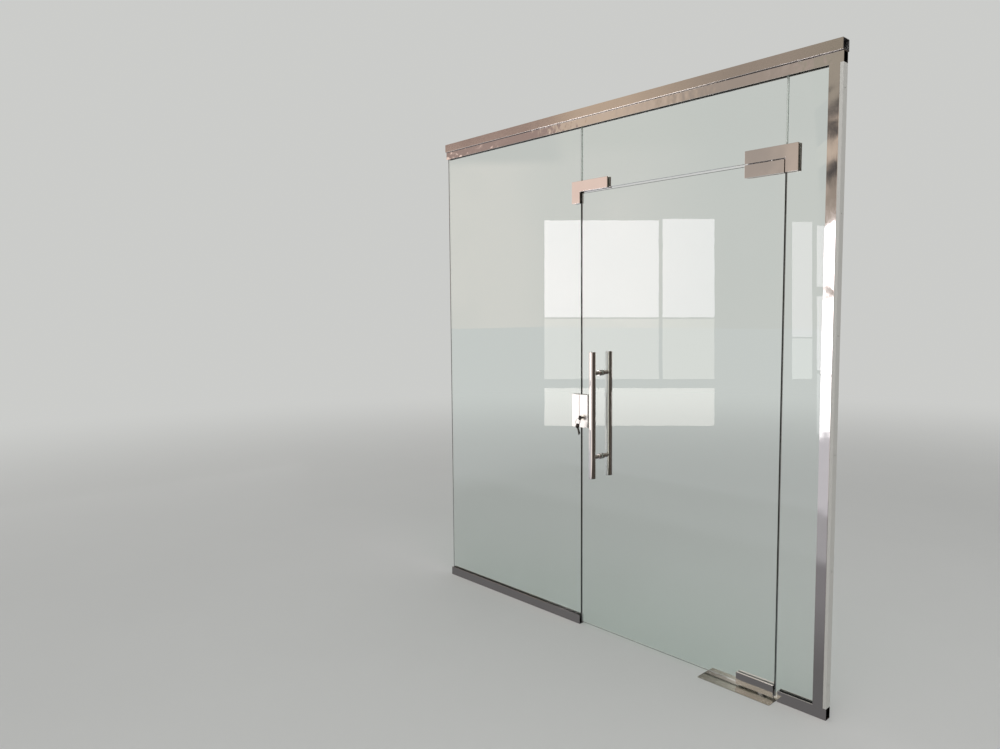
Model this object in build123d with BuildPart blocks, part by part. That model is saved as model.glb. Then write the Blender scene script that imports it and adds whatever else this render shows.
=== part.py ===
from build123d import *
from math import sqrt
import os

# Glass entrance door: a leaf on a floor spring between two fixed sidelights and an overpanel.
# Millimetres. +X runs along the screen towards the wall, +Y away from the viewer, +Z up.
# X is 0 at the wall, Y is 0 in the middle of the glass and Z is 0 on the finished floor.

# Glass
glass_thickness = 12.0
glass_arris = 0.8
cutout_radius = 8.0
leaf_width = 1015.0
left_sidelight_width = 1004.0
right_bay_width = 208.0
joint_gap = 5.0

# Heights
floor_clearance = 9.0
door_line_height = 2118.5
overpanel_rise = 303.0

# Channels round the fixed glass
channel_width = 34.0
channel_depth = 40.0
sill_depth = 45.0
channel_sheet = 2.0
channel_bend = 1.5
edge_clearance = 10.0
wall_packing_thickness = 12.0
gasket_height = 11.0
gasket_recess = 2.0
setting_block_length = 90.0
setting_block_height = 14.0
setting_block_fit = 0.5
setting_block_end = 251.0
sill_plate_gap = 6.5

# Header cover and the steel section in it
header_cover_width = 50.0
header_cover_height = 42.0
header_cover_sheet = 1.5
header_cover_bend = 2.0
right_cover_length = 1500.0
cover_joint = 0.6
beam_wall = 3.0
beam_corner = 4.0

# Fixing holes and screws of the channels
fixing_radius = 3.25
soffit_hole_radius = 4.5
header_screw_radius = 2.5
header_screw_head_radius = 4.8
header_screw_head_height = 2.4
header_screw_length = 14.0
header_screw_count = 6
header_screw_end = 119.75
wall_hole_count = 6
wall_hole_end = 88.25
soffit_hole_count = 6
soffit_hole_end = 119.75
left_sill_hole_count = 4
left_sill_hole_end = 83.25
right_sill_hole_count = 2
right_sill_hole_end = 52.0
hole_clearance = 0.25
drill_clearance = 1.0

# Patch fittings
patch_length = 163.0
patch_height = 50.0
patch_gap = 4.0
patch_setback = 3.0
patch_thickness = 34.0
patch_corner = 1.5
cover_sheet = 1.5
cover_depth = 8.5
cover_edge = 0.8
pad_thickness = 1.0
clamp_gap = 0.5
notch_length = 124.0
notch_height = 26.0
block_clearance = 3.0
screw_setback = 17.0
screw_reach = 108.0
arm_sleeve_wall = 3.5
arm_hole_clearance = 1.5
arm_hole_spacing = 50.0

# Clamp screws
screw_radius = 4.0
screw_head_radius = 7.5
screw_socket_radius = 2.9
screw_socket_depth = 3.0
screw_engagement = 5.0
thread_clearance = 0.05
head_clearance = 0.15

# Pivot line
pivot_setback = 55.0
pin_radius = 7.5
pin_lead = 1.5
pin_engagement = 15.0
pin_length = 44.0
pin_end_clearance = 1.0
pivot_running_clearance = 0.08
bush_radius = 11.0
bush_length = 18.0
insert_screw_gap = 4.35
insert_cover = 2.5
insert_wall = 3.0
insert_glass_gap = 1.5

# Floor spring
spring_plate_length = 325.0
spring_plate_width = 125.0
spring_plate_thickness = 2.0
spring_plate_corner = 4.0
spring_plate_edge = 0.6
spring_plate_end = 67.5
spring_plate_shift = -6.5
plate_end_overhang = 9.5
plate_side_overhang = 8.5
box_depth = 45.0
box_wall = 2.0
box_corner = 6.0
lug_length = 16.0
lug_width = 30.0
lug_thickness = 4.0
plate_screw_radius = 2.0
plate_screw_head_radius = 3.4
plate_screw_length = 7.0
plate_screw_socket_radius = 1.2
plate_screw_socket_depth = 1.2
closer_end_clearance = 17.0
closer_side_clearance = 16.0
closer_headroom = 9.0
closer_corner = 14.0
closer_edge = 2.0
spindle_boss_radius = 25.0
spindle_boss_height = 3.0
valve_boss_radius = 8.0
valve_hole_radius = 4.0
valve_end_distance = 20.0
valve_side_distance = 16.0
valve_depth = 6.0
spindle_shoulder = 0.4
spindle_running_clearance = 0.08
spindle_bearing_depth = 30.0
spindle_end_clearance = 0.4
spindle_hole_clearance = 2.5
patch_opening_clearance = 0.9
square_base_height = 5.0
square_height = 18.0
square_taper = 1.2
square_headroom = 1.0

# Pull handle
handle_length = 600.0
handle_height = 1062.0
handle_setback = 116.0
handle_offset = 64.0
bar_radius = 16.0
bar_wall = 1.5
post_spacing = 400.0
post_radius = 9.5
post_seat = 6.0
post_fit = 0.05
collar_radius = 13.0
collar_length = 14.0
collar_edge = 1.0
cap_thickness = 2.0
cap_edge = 1.0
spigot_length = 10.0
handle_hole_radius = 9.0
bush_fit = 0.3
washer_thickness = 1.0
stud_radius = 5.0
stud_hold = 24.0
stud_end_clearance = 1.0

# Lock and strike
lock_height_centre = 1071.0
lock_gap = 2.0
lock_border = 22.0
lock_width = 52.0
strike_width = 46.0
lock_thickness = 44.0
lock_edge = 0.8
lock_glass_grip = 10.0
lock_inner_gap = 5.0
lock_screw_edge = 6.0
lock_screw_radius = 3.0
lock_screw_head_radius = 5.6
lock_screw_socket_radius = 2.2
lock_screw_reach = 38.0
bolt_end_wall = 2.0
bolt_thickness = 8.0
bolt_height = 28.0
bolt_setback = 0.5
bolt_slide_clearance = 0.2
bolt_edge = 1.0
bolt_travel = 14.0
strike_clearance = 1.5
sleeve_radius = 11.0
sleeve_wall = 6.0
sleeve_flange_radius = 14.0
sleeve_proud = 3.0
sleeve_edge = 0.8
sleeve_length = 27.0
plug_radius = 6.5
plug_running_clearance = 0.08
plug_length = 24.0
plug_proud = 0.4
keyway_clearance = 0.1

# Keys
key_thickness = 2.2
key_blade = 8.0
key_blade_length = 24.0
key_shoulder = 3.0
key_neck = 17.0
key_neck_width = 10.0
key_stand_off = 1.5
key_bow_radius = 11.5
key_hole_radius = 3.0
key_hole_inset = 5.0
key_cut_depth = 2.0
key_cut_pitch = 5.0
key_cut_count = 4
ring_radius = 15.0
ring_wire = 0.8
ring_edge = 0.3
ring_clearance = 0.1
spare_key_spread = 1.8
ring_tilt = 25.0
spare_key_tilts = (24.0, 12.0)

FRONT, BACK = -1, 1

# Places along the screen
half_glass = glass_thickness / 2
right_glass_outer = -(wall_packing_thickness + channel_sheet + edge_clearance)
right_glass_edge = -right_bay_width
leaf_right = right_glass_edge - joint_gap
leaf_left = leaf_right - leaf_width
left_glass_right = leaf_left - joint_gap
left_glass_left = left_glass_right - left_sidelight_width
bay_left = left_glass_left - joint_gap / 2
right_joint = leaf_right + joint_gap / 2
left_joint = leaf_left - joint_gap / 2
pivot_x = leaf_right - pivot_setback
plate_right = pivot_x + spring_plate_end
plate_left = plate_right - spring_plate_length
right_sill_left = plate_right + sill_plate_gap

# Heights worked out from the lines above
header_line_height = door_line_height + overpanel_rise
leaf_bottom = floor_clearance + patch_setback
leaf_top = door_line_height - patch_gap / 2 - patch_setback
over_bottom = door_line_height + patch_gap / 2 + patch_setback
sill_glass_bottom = channel_sheet + setting_block_height
header_web = header_line_height + channel_depth
fixed_glass_top = header_web - channel_sheet - edge_clearance
header_top = header_web + header_cover_height

# Layers of a patch, counted from the middle of the glass
pad_face = half_glass + pad_thickness
patch_face = patch_thickness / 2
plate_face = patch_face - cover_sheet
plate_thickness = plate_face - pad_face
arm_sleeve_radius = screw_radius + arm_sleeve_wall
arm_hole_radius = arm_sleeve_radius + arm_hole_clearance
lock_face = lock_thickness / 2

# The spindle's square, the insert that it drives and the round shaft below
insert_width = 2 * (plate_face - insert_cover)
insert_length = 2 * (pivot_setback - screw_setback - screw_head_radius - head_clearance - insert_screw_gap)
square_base = insert_width - 2 * insert_wall
square_top = square_base - 2 * square_taper
square_corner = square_base / sqrt(2)
spindle_radius = square_corner + spindle_shoulder
patch_opening_radius = square_corner + patch_opening_clearance
spindle_hole_radius = spindle_radius + spindle_hole_clearance

# The lock's cut-out in the glass, worked out from the bolt, the cylinder and the screws in it
cylinder_drop = bolt_height / 2 + lock_inner_gap + sleeve_radius
lock_screw_drop = cylinder_drop + sleeve_radius + lock_inner_gap + lock_screw_radius
lock_cutout_height = 2 * (lock_screw_drop + lock_screw_radius + lock_screw_edge)
lock_cutout_depth = lock_width - lock_glass_grip
strike_cutout_depth = strike_width - lock_glass_grip
lock_height = lock_cutout_height + 2 * lock_border

# Outlines of the fittings as (left, right, bottom, top)
top_patch = [(right_joint - patch_gap / 2 - patch_length, right_joint - patch_gap / 2,
              door_line_height - patch_gap / 2 - patch_height, door_line_height - patch_gap / 2)]
bottom_patch = [(top_patch[0][0], top_patch[0][1], floor_clearance, floor_clearance + patch_height)]
over_low = door_line_height + patch_gap / 2
over_high = over_low + patch_height
arm_low = top_patch[0][2]
right_arm = right_joint + patch_gap / 2
left_arm = left_joint - patch_gap / 2
pivot_patch = [(top_patch[0][0], right_arm + patch_height, over_low, over_high),
               (right_arm, right_arm + patch_height, arm_low, over_high)]
corner_patch = [(left_arm - patch_height, left_joint + patch_gap / 2 + patch_length, over_low, over_high),
                (left_arm - patch_height, left_arm, arm_low, over_high)]
lock_low = lock_height_centre - lock_height / 2
lock_high = lock_height_centre + lock_height / 2
lock_left = left_joint + lock_gap / 2
lock_case = [(lock_left, lock_left + lock_width, lock_low, lock_high)]
strike_right = left_joint - lock_gap / 2
strike_case = [(strike_right - strike_width, strike_right, lock_low, lock_high)]

# Blocks that fill the cut-outs of the glass between the clamp plates
hinge_block = (leaf_right - notch_length + block_clearance, top_patch[0][1] - cover_sheet)
top_block = [(*hinge_block, leaf_top - notch_height + block_clearance, top_patch[0][3] - cover_sheet)]
bottom_block = [(*hinge_block, floor_clearance + cover_sheet, leaf_bottom + notch_height - block_clearance)]
pivot_block = [(*hinge_block, over_low + cover_sheet, over_bottom + notch_height - block_clearance)]
corner_block = [(left_joint + patch_gap / 2 + cover_sheet, leaf_left + notch_length - block_clearance,
                 over_low + cover_sheet, over_bottom + notch_height - block_clearance)]
cutout_low = lock_height_centre - lock_cutout_height / 2
cutout_high = lock_height_centre + lock_cutout_height / 2
lock_block = [(lock_left, leaf_left + lock_cutout_depth - block_clearance,
               cutout_low + block_clearance, cutout_high - block_clearance)]
strike_block = [(left_glass_right - strike_cutout_depth + block_clearance, strike_right,
                 cutout_low + block_clearance, cutout_high - block_clearance)]

# Screw places in the plane of the glass
hinge_screw_xs = (leaf_right - screw_setback, leaf_right - screw_reach)
corner_screw_xs = (leaf_left + screw_setback, leaf_left + screw_reach)
top_screw_z = leaf_top - notch_height / 2
bottom_screw_z = leaf_bottom + notch_height / 2
over_screw_z = over_bottom + notch_height / 2
arm_hole_zs = (over_low - arm_hole_spacing + patch_height / 4, over_low + patch_height / 4)
right_arm_x = right_arm + patch_height / 2
left_arm_x = left_arm - patch_height / 2
top_screws = [(x, top_screw_z) for x in hinge_screw_xs]
bottom_screws = [(x, bottom_screw_z) for x in hinge_screw_xs]
pivot_arm_screws = [(right_arm_x, z) for z in arm_hole_zs]
corner_arm_screws = [(left_arm_x, z) for z in arm_hole_zs]
pivot_screws = [(x, over_screw_z) for x in hinge_screw_xs] + pivot_arm_screws
corner_screws = [(x, over_screw_z) for x in corner_screw_xs] + corner_arm_screws
lock_screw_zs = (lock_height_centre - lock_screw_drop, lock_height_centre + lock_screw_drop)
lock_screws = [(lock_left + lock_width / 2, z) for z in lock_screw_zs]
strike_screws = [(strike_right - strike_width / 2, z) for z in lock_screw_zs]

# The cylinder and the handle
cylinder_x = lock_block[0][1] - sleeve_wall - sleeve_radius
cylinder_z = lock_height_centre - cylinder_drop
handle_x = leaf_left + handle_setback
handle_low = handle_height - handle_length / 2
post_places = [(handle_x, handle_height + side * post_spacing / 2) for side in (-1, 1)]


def finish(piece, name):
    """Label a finished piece and write it to its own file."""
    piece.part.label = name
    export_step(piece.part, f"parts/{name}.step")


def draw_boxes(boxes, inset=0.0, mode=Mode.ADD):
    """Draw rectangles given as (left, right, bottom, top), each pulled in by an inset."""
    for left, right, bottom, top in boxes:
        with Locations(((left + right) / 2, (bottom + top) / 2)):
            Rectangle(right - left - 2 * inset, top - bottom - 2 * inset, mode=mode)


def draw_corner_cutout(x, z, length, height):
    """Cut a notch with a rounded inner corner out of a glass sketch, at a corner or an edge."""
    with Locations((x, z)):
        RectangleRounded(2 * length, height, cutout_radius, mode=Mode.SUBTRACT)


def draw_circles(places, radius, mode=Mode.ADD):
    """Draw one circle at each place."""
    with Locations(*places):
        Circle(radius, mode=mode)


def across(side, distance):
    """The plane at a distance from the middle of the glass, on its front or its back."""
    return Plane.XZ.offset(-side * distance)


def spread(low, high, end, count):
    """Evenly spaced places between two ends, the first and last at a distance from them."""
    return [low + end + i * (high - low - 2 * end) / (count - 1) for i in range(count)]


def snap_cover(outline, side, opening_height=None):
    """A thin patch cover: a face with a flange all round that grips the clamp plate."""
    with BuildPart() as cover:
        with BuildSketch(across(side, patch_face)) as face:
            draw_boxes(outline)
            fillet(face.vertices(), patch_corner)
        extrude(amount=side * cover_depth)
        outer = cover.faces().sort_by(Axis.Y)[0 if side == FRONT else -1]
        fillet(outer.edges(), cover_edge)
        with BuildSketch(across(side, plate_face)):
            draw_boxes(outline, cover_sheet)
        extrude(amount=side * (cover_depth - cover_sheet), mode=Mode.SUBTRACT)
        if opening_height is not None:
            with BuildSketch(Plane.XY.offset(opening_height)):
                draw_circles([(pivot_x, 0)], patch_opening_radius)
            extrude(amount=cover_sheet, mode=Mode.SUBTRACT)
    return cover


def clamp_plate(outline, side, screws, blocks, sleeves=(), pivot_bore=None, socket=None):
    """A patch's clamp plate. The back one carries the blocks and sleeves that pass the glass."""
    with BuildPart() as plate:
        with BuildSketch(across(side, plate_face)):
            draw_boxes(outline, cover_sheet)
        extrude(amount=side * plate_thickness)
        if side == BACK:
            with BuildSketch(across(BACK, pad_face)):
                draw_boxes(blocks)
                if sleeves:
                    draw_circles(sleeves, arm_sleeve_radius)
            extrude(amount=2 * pad_face - clamp_gap)
        with Locations(*[across(FRONT, plate_face) * Pos(x, z, 0) for x, z in screws]):
            if side == FRONT:
                CounterSinkHole(screw_radius + hole_clearance, screw_head_radius + head_clearance,
                                counter_sink_angle=90)
            else:
                Hole(screw_radius + thread_clearance)
        if pivot_bore:
            radius, low, high = pivot_bore
            with BuildSketch(Plane.XY.offset(low)):
                draw_circles([(pivot_x, 0)], radius)
            extrude(amount=high - low, mode=Mode.SUBTRACT)
        if socket:
            with BuildSketch(Plane.XY.offset(socket[0])):
                with Locations((pivot_x, 0)):
                    Rectangle(insert_length, insert_width)
            extrude(amount=socket[1] - socket[0], mode=Mode.SUBTRACT)
    return plate


def draw_pads(outline, notch, holes=(), hole_radius=0.0):
    """Draw the pad between a plate and the glass, open where the glass is cut out."""
    draw_boxes(outline, patch_setback)
    draw_boxes([notch], mode=Mode.SUBTRACT)
    if holes:
        draw_circles(holes, hole_radius, Mode.SUBTRACT)


def place_screws(places, radius, head_radius, length, socket_radius, socket_depth):
    """Countersunk socket screws, added to the part that is being built, heads towards each plane."""
    with Locations(*places):
        Cone(radius, head_radius, head_radius - radius, align=(Align.CENTER, Align.CENTER, Align.MAX))
        Cylinder(radius, length, align=(Align.CENTER, Align.CENTER, Align.MAX))
        with Locations((0, 0, -socket_depth / 2)):
            Cylinder(socket_radius, socket_depth, mode=Mode.SUBTRACT)


os.makedirs("parts", exist_ok=True)

# Door leaf: notched at both hinge corners, cut out for the lock, drilled for the handle
with BuildPart() as door_leaf:
    with BuildSketch(across(FRONT, half_glass)):
        draw_boxes([(leaf_left, leaf_right, leaf_bottom, leaf_top)])
        draw_corner_cutout(leaf_right, leaf_top, notch_length, 2 * notch_height)
        draw_corner_cutout(leaf_right, leaf_bottom, notch_length, 2 * notch_height)
        draw_corner_cutout(leaf_left, lock_height_centre, lock_cutout_depth, lock_cutout_height)
        draw_circles(post_places, handle_hole_radius, Mode.SUBTRACT)
    extrude(amount=-glass_thickness)
    chamfer(door_leaf.faces().filter_by(Axis.Y).edges(), glass_arris)
finish(door_leaf, "door_leaf")

# Overpanel: notched over both corners of the door
with BuildPart() as overpanel:
    with BuildSketch(across(FRONT, half_glass)):
        draw_boxes([(leaf_left, leaf_right, over_bottom, fixed_glass_top)])
        draw_corner_cutout(leaf_right, over_bottom, notch_length, 2 * notch_height)
        draw_corner_cutout(leaf_left, over_bottom, notch_length, 2 * notch_height)
    extrude(amount=-glass_thickness)
    chamfer(overpanel.faces().filter_by(Axis.Y).edges(), glass_arris)
finish(overpanel, "overpanel")

# Left sidelight: drilled for the corner patch and cut out for the strike box
with BuildPart() as left_sidelight:
    with BuildSketch(across(FRONT, half_glass)):
        draw_boxes([(left_glass_left, left_glass_right, sill_glass_bottom, fixed_glass_top)])
        draw_corner_cutout(left_glass_right, lock_height_centre, strike_cutout_depth, lock_cutout_height)
        draw_circles(corner_arm_screws, arm_hole_radius, Mode.SUBTRACT)
    extrude(amount=-glass_thickness)
    chamfer(left_sidelight.faces().filter_by(Axis.Y).edges(), glass_arris)
finish(left_sidelight, "left_sidelight")

# Right sidelight: drilled for the pivot patch
with BuildPart() as right_sidelight:
    with BuildSketch(across(FRONT, half_glass)):
        draw_boxes([(right_glass_edge, right_glass_outer, sill_glass_bottom, fixed_glass_top)])
        draw_circles(pivot_arm_screws, arm_hole_radius, Mode.SUBTRACT)
    extrude(amount=-glass_thickness)
    chamfer(right_sidelight.faces().filter_by(Axis.Y).edges(), glass_arris)
finish(right_sidelight, "right_sidelight")


def long_channel(left, right, web, depth, hole_xs, hole_radius):
    """A folded channel along X. Its web is at a height and its flanges reach a signed depth from it."""
    fold = 1 if depth > 0 else -1
    with BuildPart() as channel:
        with BuildSketch(Plane.YZ.offset(left)) as section:
            with Locations((0, web + depth / 2)):
                Rectangle(channel_width, abs(depth))
            bends = section.vertices().group_by(Axis.Y)[0 if depth > 0 else -1]
            fillet(bends, channel_bend)
            with Locations((0, web + depth / 2 + fold * channel_sheet / 2)):
                Rectangle(channel_width - 2 * channel_sheet, abs(depth) - channel_sheet, mode=Mode.SUBTRACT)
        extrude(amount=right - left)
        with Locations(*[(x, 0, web) for x in hole_xs]):
            Hole(hole_radius)
    return channel


# Header channel over all the fixed glass, and the two sills
header_screw_xs = spread(bay_left, 0, header_screw_end, header_screw_count)
header_channel = long_channel(bay_left, 0, header_web, -channel_depth, header_screw_xs,
                              header_screw_radius + hole_clearance)
finish(header_channel, "header_channel")

left_sill_right = left_glass_right
left_sill_holes = spread(bay_left, left_sill_right, left_sill_hole_end, left_sill_hole_count)
left_sill_channel = long_channel(bay_left, left_sill_right, 0, sill_depth, left_sill_holes, fixing_radius)
finish(left_sill_channel, "left_sill_channel")

right_sill_holes = spread(right_sill_left, 0, right_sill_hole_end, right_sill_hole_count)
right_sill_channel = long_channel(right_sill_left, 0, 0, sill_depth, right_sill_holes, fixing_radius)
finish(right_sill_channel, "right_sill_channel")

# Wall channel, standing between the sill and the header
wall_channel_back = -wall_packing_thickness
wall_channel_front = wall_channel_back - channel_depth
wall_hole_zs = spread(sill_depth, header_line_height, wall_hole_end, wall_hole_count)
with BuildPart() as wall_channel:
    with BuildSketch(Plane.XY.offset(sill_depth)) as section:
        with Locations(((wall_channel_front + wall_channel_back) / 2, 0)):
            Rectangle(channel_depth, channel_width)
        fillet(section.vertices().group_by(Axis.X)[-1], channel_bend)
        with Locations(((wall_channel_front + wall_channel_back - channel_sheet) / 2, 0)):
            Rectangle(channel_depth - channel_sheet, channel_width - 2 * channel_sheet, mode=Mode.SUBTRACT)
    extrude(amount=header_line_height - sill_depth)
    with Locations(*[Plane.YZ.offset(wall_channel_back) * Pos(0, z, 0) for z in wall_hole_zs]):
        Hole(fixing_radius)
finish(wall_channel, "wall_channel")

# Packing strip between the wall and the wall channel
with BuildPart() as wall_packing:
    with BuildSketch(Plane.XY.offset(sill_depth)):
        with Locations((-wall_packing_thickness / 2, 0)):
            Rectangle(wall_packing_thickness, channel_width)
    extrude(amount=header_line_height - sill_depth)
    with Locations(*[Plane.YZ * Pos(0, z, 0) for z in wall_hole_zs]):
        Hole(fixing_radius)
finish(wall_packing, "wall_packing")

# Glazing gaskets: wedges on both sides of the glass, set back from the channels' lips
gasket_width = channel_width / 2 - channel_sheet - half_glass
gasket_runs = ((bay_left, wall_channel_front, header_line_height + gasket_recess, 1),
               (bay_left, left_sill_right, sill_depth - gasket_recess, -1),
               (right_sill_left, wall_channel_front, sill_depth - gasket_recess, -1))
with BuildPart() as glazing_gaskets:
    for left, right, lip, inwards in gasket_runs:
        with BuildSketch(Plane.YZ.offset(left)):
            for side in (FRONT, BACK):
                with BuildLine():
                    Polyline((side * half_glass, lip), (side * (half_glass + gasket_width), lip),
                             (side * (half_glass + gasket_width), lip + inwards * gasket_height),
                             (side * (half_glass + gasket_width / 2), lip + inwards * gasket_height),
                             (side * half_glass, lip + inwards * gasket_height / 2), close=True)
                make_face()
        extrude(amount=right - left)
    with BuildSketch(Plane.XY.offset(sill_depth)):
        lip = wall_channel_front + gasket_recess
        for side in (FRONT, BACK):
            with BuildLine():
                Polyline((lip, side * half_glass), (lip, side * (half_glass + gasket_width)),
                         (lip + gasket_height, side * (half_glass + gasket_width)),
                         (lip + gasket_height, side * (half_glass + gasket_width / 2)),
                         (lip + gasket_height / 2, side * half_glass), close=True)
            make_face()
    extrude(amount=header_line_height - sill_depth)
finish(glazing_gaskets, "glazing_gaskets")

# Setting blocks under the fixed glass
setting_block_width = channel_width - 2 * channel_sheet - 2 * setting_block_fit
left_blocks = spread(left_glass_left, left_glass_right, setting_block_end, 2)
right_block = (right_sill_left + right_glass_outer) / 2
with BuildPart() as setting_blocks:
    with BuildSketch(Plane.XY.offset(channel_sheet)):
        with Locations(*[(x, 0) for x in (*left_blocks, right_block)]):
            Rectangle(setting_block_length, setting_block_width)
    extrude(amount=setting_block_height)
finish(setting_blocks, "setting_blocks")

# Steel section in the header, with holes up into the soffit
beam_width = header_cover_width - 2 * header_cover_sheet
beam_low = header_web + header_cover_sheet
soffit_holes = spread(bay_left, 0, soffit_hole_end, soffit_hole_count)
with BuildPart() as header_beam:
    with BuildSketch(Plane.YZ.offset(bay_left)) as section:
        with Locations((0, (beam_low + header_top) / 2)):
            RectangleRounded(beam_width, header_top - beam_low, beam_corner)
            RectangleRounded(beam_width - 2 * beam_wall, header_top - beam_low - 2 * beam_wall,
                             beam_corner - beam_wall, mode=Mode.SUBTRACT)
    extrude(amount=-bay_left)
    with Locations(*[(x, 0, header_top) for x in soffit_holes]):
        Hole(soffit_hole_radius, depth=header_cover_height / 2)
    with Locations(*[Plane((x, 0, beam_low), z_dir=(0, 0, -1)) for x in header_screw_xs]):
        Hole(header_screw_radius + hole_clearance, depth=header_cover_height / 2)
finish(header_beam, "header_beam")


def header_cover(left, right, screw_xs):
    """A length of the folded cover round the header's steel section, open on top."""
    with BuildPart() as cover:
        with BuildSketch(Plane.YZ.offset(left)) as section:
            with Locations((0, (header_web + header_top) / 2)):
                Rectangle(header_cover_width, header_cover_height)
            fillet(section.vertices().group_by(Axis.Y)[0], header_cover_bend)
            with Locations((0, (beam_low + header_top) / 2)):
                Rectangle(beam_width, header_top - beam_low, mode=Mode.SUBTRACT)
        extrude(amount=right - left)
        with Locations(*[(x, 0, header_web) for x in screw_xs]):
            Hole(header_screw_radius + hole_clearance)
    return cover


cover_split = -right_cover_length
header_cover_left = header_cover(bay_left, cover_split - cover_joint,
                                 [x for x in header_screw_xs if x < cover_split])
finish(header_cover_left, "header_cover_left")
header_cover_right = header_cover(cover_split, 0, [x for x in header_screw_xs if x > cover_split])
finish(header_cover_right, "header_cover_right")

# Pan-head screws that hold the header channel and cover up to the steel section
channel_underside = header_web - channel_sheet
with BuildPart() as header_screws:
    with BuildSketch(Plane.XY.offset(channel_underside)):
        draw_circles([(x, 0) for x in header_screw_xs], header_screw_head_radius)
    extrude(amount=-header_screw_head_height)
    chamfer(header_screws.faces().group_by(Axis.Z)[0].edges(), header_screw_head_height / 2)
    with BuildSketch(Plane.XY.offset(channel_underside)):
        draw_circles([(x, 0) for x in header_screw_xs], header_screw_radius)
    extrude(amount=header_screw_length)
finish(header_screws, "header_screws")

# Top pivot: a pin held in the pivot patch turns in a bush in the leaf's top patch
bush_top = top_patch[0][3] - cover_sheet
pin_low = bush_top - pin_engagement
pin_high = pin_low + pin_length
with BuildPart() as top_pivot_pin:
    with BuildSketch(Plane.XY.offset(pin_low)):
        draw_circles([(pivot_x, 0)], pin_radius)
    extrude(amount=pin_length)
    chamfer(top_pivot_pin.edges().group_by(Axis.Z)[0], pin_lead)
finish(top_pivot_pin, "top_pivot_pin")

bush_low = bush_top - bush_length
bush_bore_low = pin_low - pin_end_clearance
with BuildPart() as top_pivot_bush:
    with BuildSketch(Plane.XY.offset(bush_low)):
        draw_circles([(pivot_x, 0)], bush_radius)
    extrude(amount=bush_length)
    with BuildSketch(Plane.XY.offset(bush_bore_low)):
        draw_circles([(pivot_x, 0)], pin_radius + pivot_running_clearance)
    extrude(amount=bush_top - bush_bore_low, mode=Mode.SUBTRACT)
finish(top_pivot_bush, "top_pivot_bush")

# Clamp plates and covers of the four patches
pin_hole = (pin_radius, over_low, pin_high)
bush_hole = (bush_radius, bush_low, bush_top)
insert_socket = (floor_clearance + cover_sheet, leaf_bottom + notch_height - insert_glass_gap)
patches = {
    "pivot_patch": (pivot_patch, pivot_screws, pivot_block, pivot_arm_screws, pin_hole, None),
    "corner_patch": (corner_patch, corner_screws, corner_block, corner_arm_screws, None, None),
    "top_patch": (top_patch, top_screws, top_block, (), bush_hole, None),
    "bottom_patch": (bottom_patch, bottom_screws, bottom_block, (), None, insert_socket),
}
for name, (outline, screws, block, sleeves, pivot_bore, socket) in patches.items():
    for side, word in ((FRONT, "front"), (BACK, "back")):
        plate = clamp_plate(outline, side, screws, block, sleeves, pivot_bore, socket)
        finish(plate, f"{name}_{word}_plate")
        finish(snap_cover(outline, side, floor_clearance if socket else None), f"{name}_{word}_cover")

# Fibre pads between the fittings and the fixed glass
hinge_notch = (leaf_right - notch_length, right_joint, over_low, over_bottom + notch_height)
latch_notch = (left_joint, leaf_left + notch_length, over_low, over_bottom + notch_height)
strike_notch = (left_glass_right - strike_cutout_depth, strike_right, cutout_low, cutout_high)
with BuildPart() as frame_patch_pads:
    for plane in (across(FRONT, pad_face), across(BACK, half_glass)):
        with BuildSketch(plane):
            draw_pads(pivot_patch, hinge_notch, pivot_arm_screws, arm_hole_radius)
        extrude(amount=-pad_thickness)
        with BuildSketch(plane):
            draw_pads(corner_patch, latch_notch, corner_arm_screws, arm_hole_radius)
        extrude(amount=-pad_thickness)
        with BuildSketch(plane):
            draw_pads(strike_case, strike_notch)
        extrude(amount=-pad_thickness)
finish(frame_patch_pads, "frame_patch_pads")

# Fibre pads between the fittings and the leaf
top_notch = (leaf_right - notch_length, right_joint, leaf_top - notch_height, bush_top)
bottom_notch = (leaf_right - notch_length, right_joint, floor_clearance, leaf_bottom + notch_height)
lock_notch = (lock_left, leaf_left + lock_cutout_depth, cutout_low, cutout_high)
with BuildPart() as leaf_patch_pads:
    for plane in (across(FRONT, pad_face), across(BACK, half_glass)):
        with BuildSketch(plane):
            draw_pads(top_patch, top_notch)
            draw_pads(bottom_patch, bottom_notch)
        extrude(amount=-pad_thickness)
        with BuildSketch(plane):
            draw_pads(lock_case, lock_notch)
        extrude(amount=-pad_thickness)
finish(leaf_patch_pads, "leaf_patch_pads")

# Clamp screws: those of the patches go in from the front, those of the lock from the back
screw_length = 2 * plate_face - plate_thickness + screw_engagement
with BuildPart() as frame_clamp_screws:
    place_screws([across(FRONT, plate_face) * Pos(x, z, 0) for x, z in pivot_screws + corner_screws],
                 screw_radius, screw_head_radius, screw_length, screw_socket_radius, screw_socket_depth)
    place_screws([Plane((x, lock_face, z), z_dir=(0, 1, 0)) for x, z in strike_screws],
                 lock_screw_radius, lock_screw_head_radius, lock_screw_reach,
                 lock_screw_socket_radius, screw_socket_depth)
finish(frame_clamp_screws, "frame_clamp_screws")

with BuildPart() as leaf_clamp_screws:
    place_screws([across(FRONT, plate_face) * Pos(x, z, 0) for x, z in top_screws + bottom_screws],
                 screw_radius, screw_head_radius, screw_length, screw_socket_radius, screw_socket_depth)
    place_screws([Plane((x, lock_face, z), z_dir=(0, 1, 0)) for x, z in lock_screws],
                 lock_screw_radius, lock_screw_head_radius, lock_screw_reach,
                 lock_screw_socket_radius, screw_socket_depth)
finish(leaf_clamp_screws, "leaf_clamp_screws")


def lock_half(outline, side):
    """The front or back half of the lock case or the strike box, without its own recesses."""
    with BuildPart() as half:
        with BuildSketch(across(side, lock_face)):
            draw_boxes(outline)
        extrude(amount=side * (lock_face - pad_face))
        outer = half.faces().sort_by(Axis.Y)[0 if side == FRONT else -1]
        fillet(outer.edges(), lock_edge)
    return half


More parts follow.
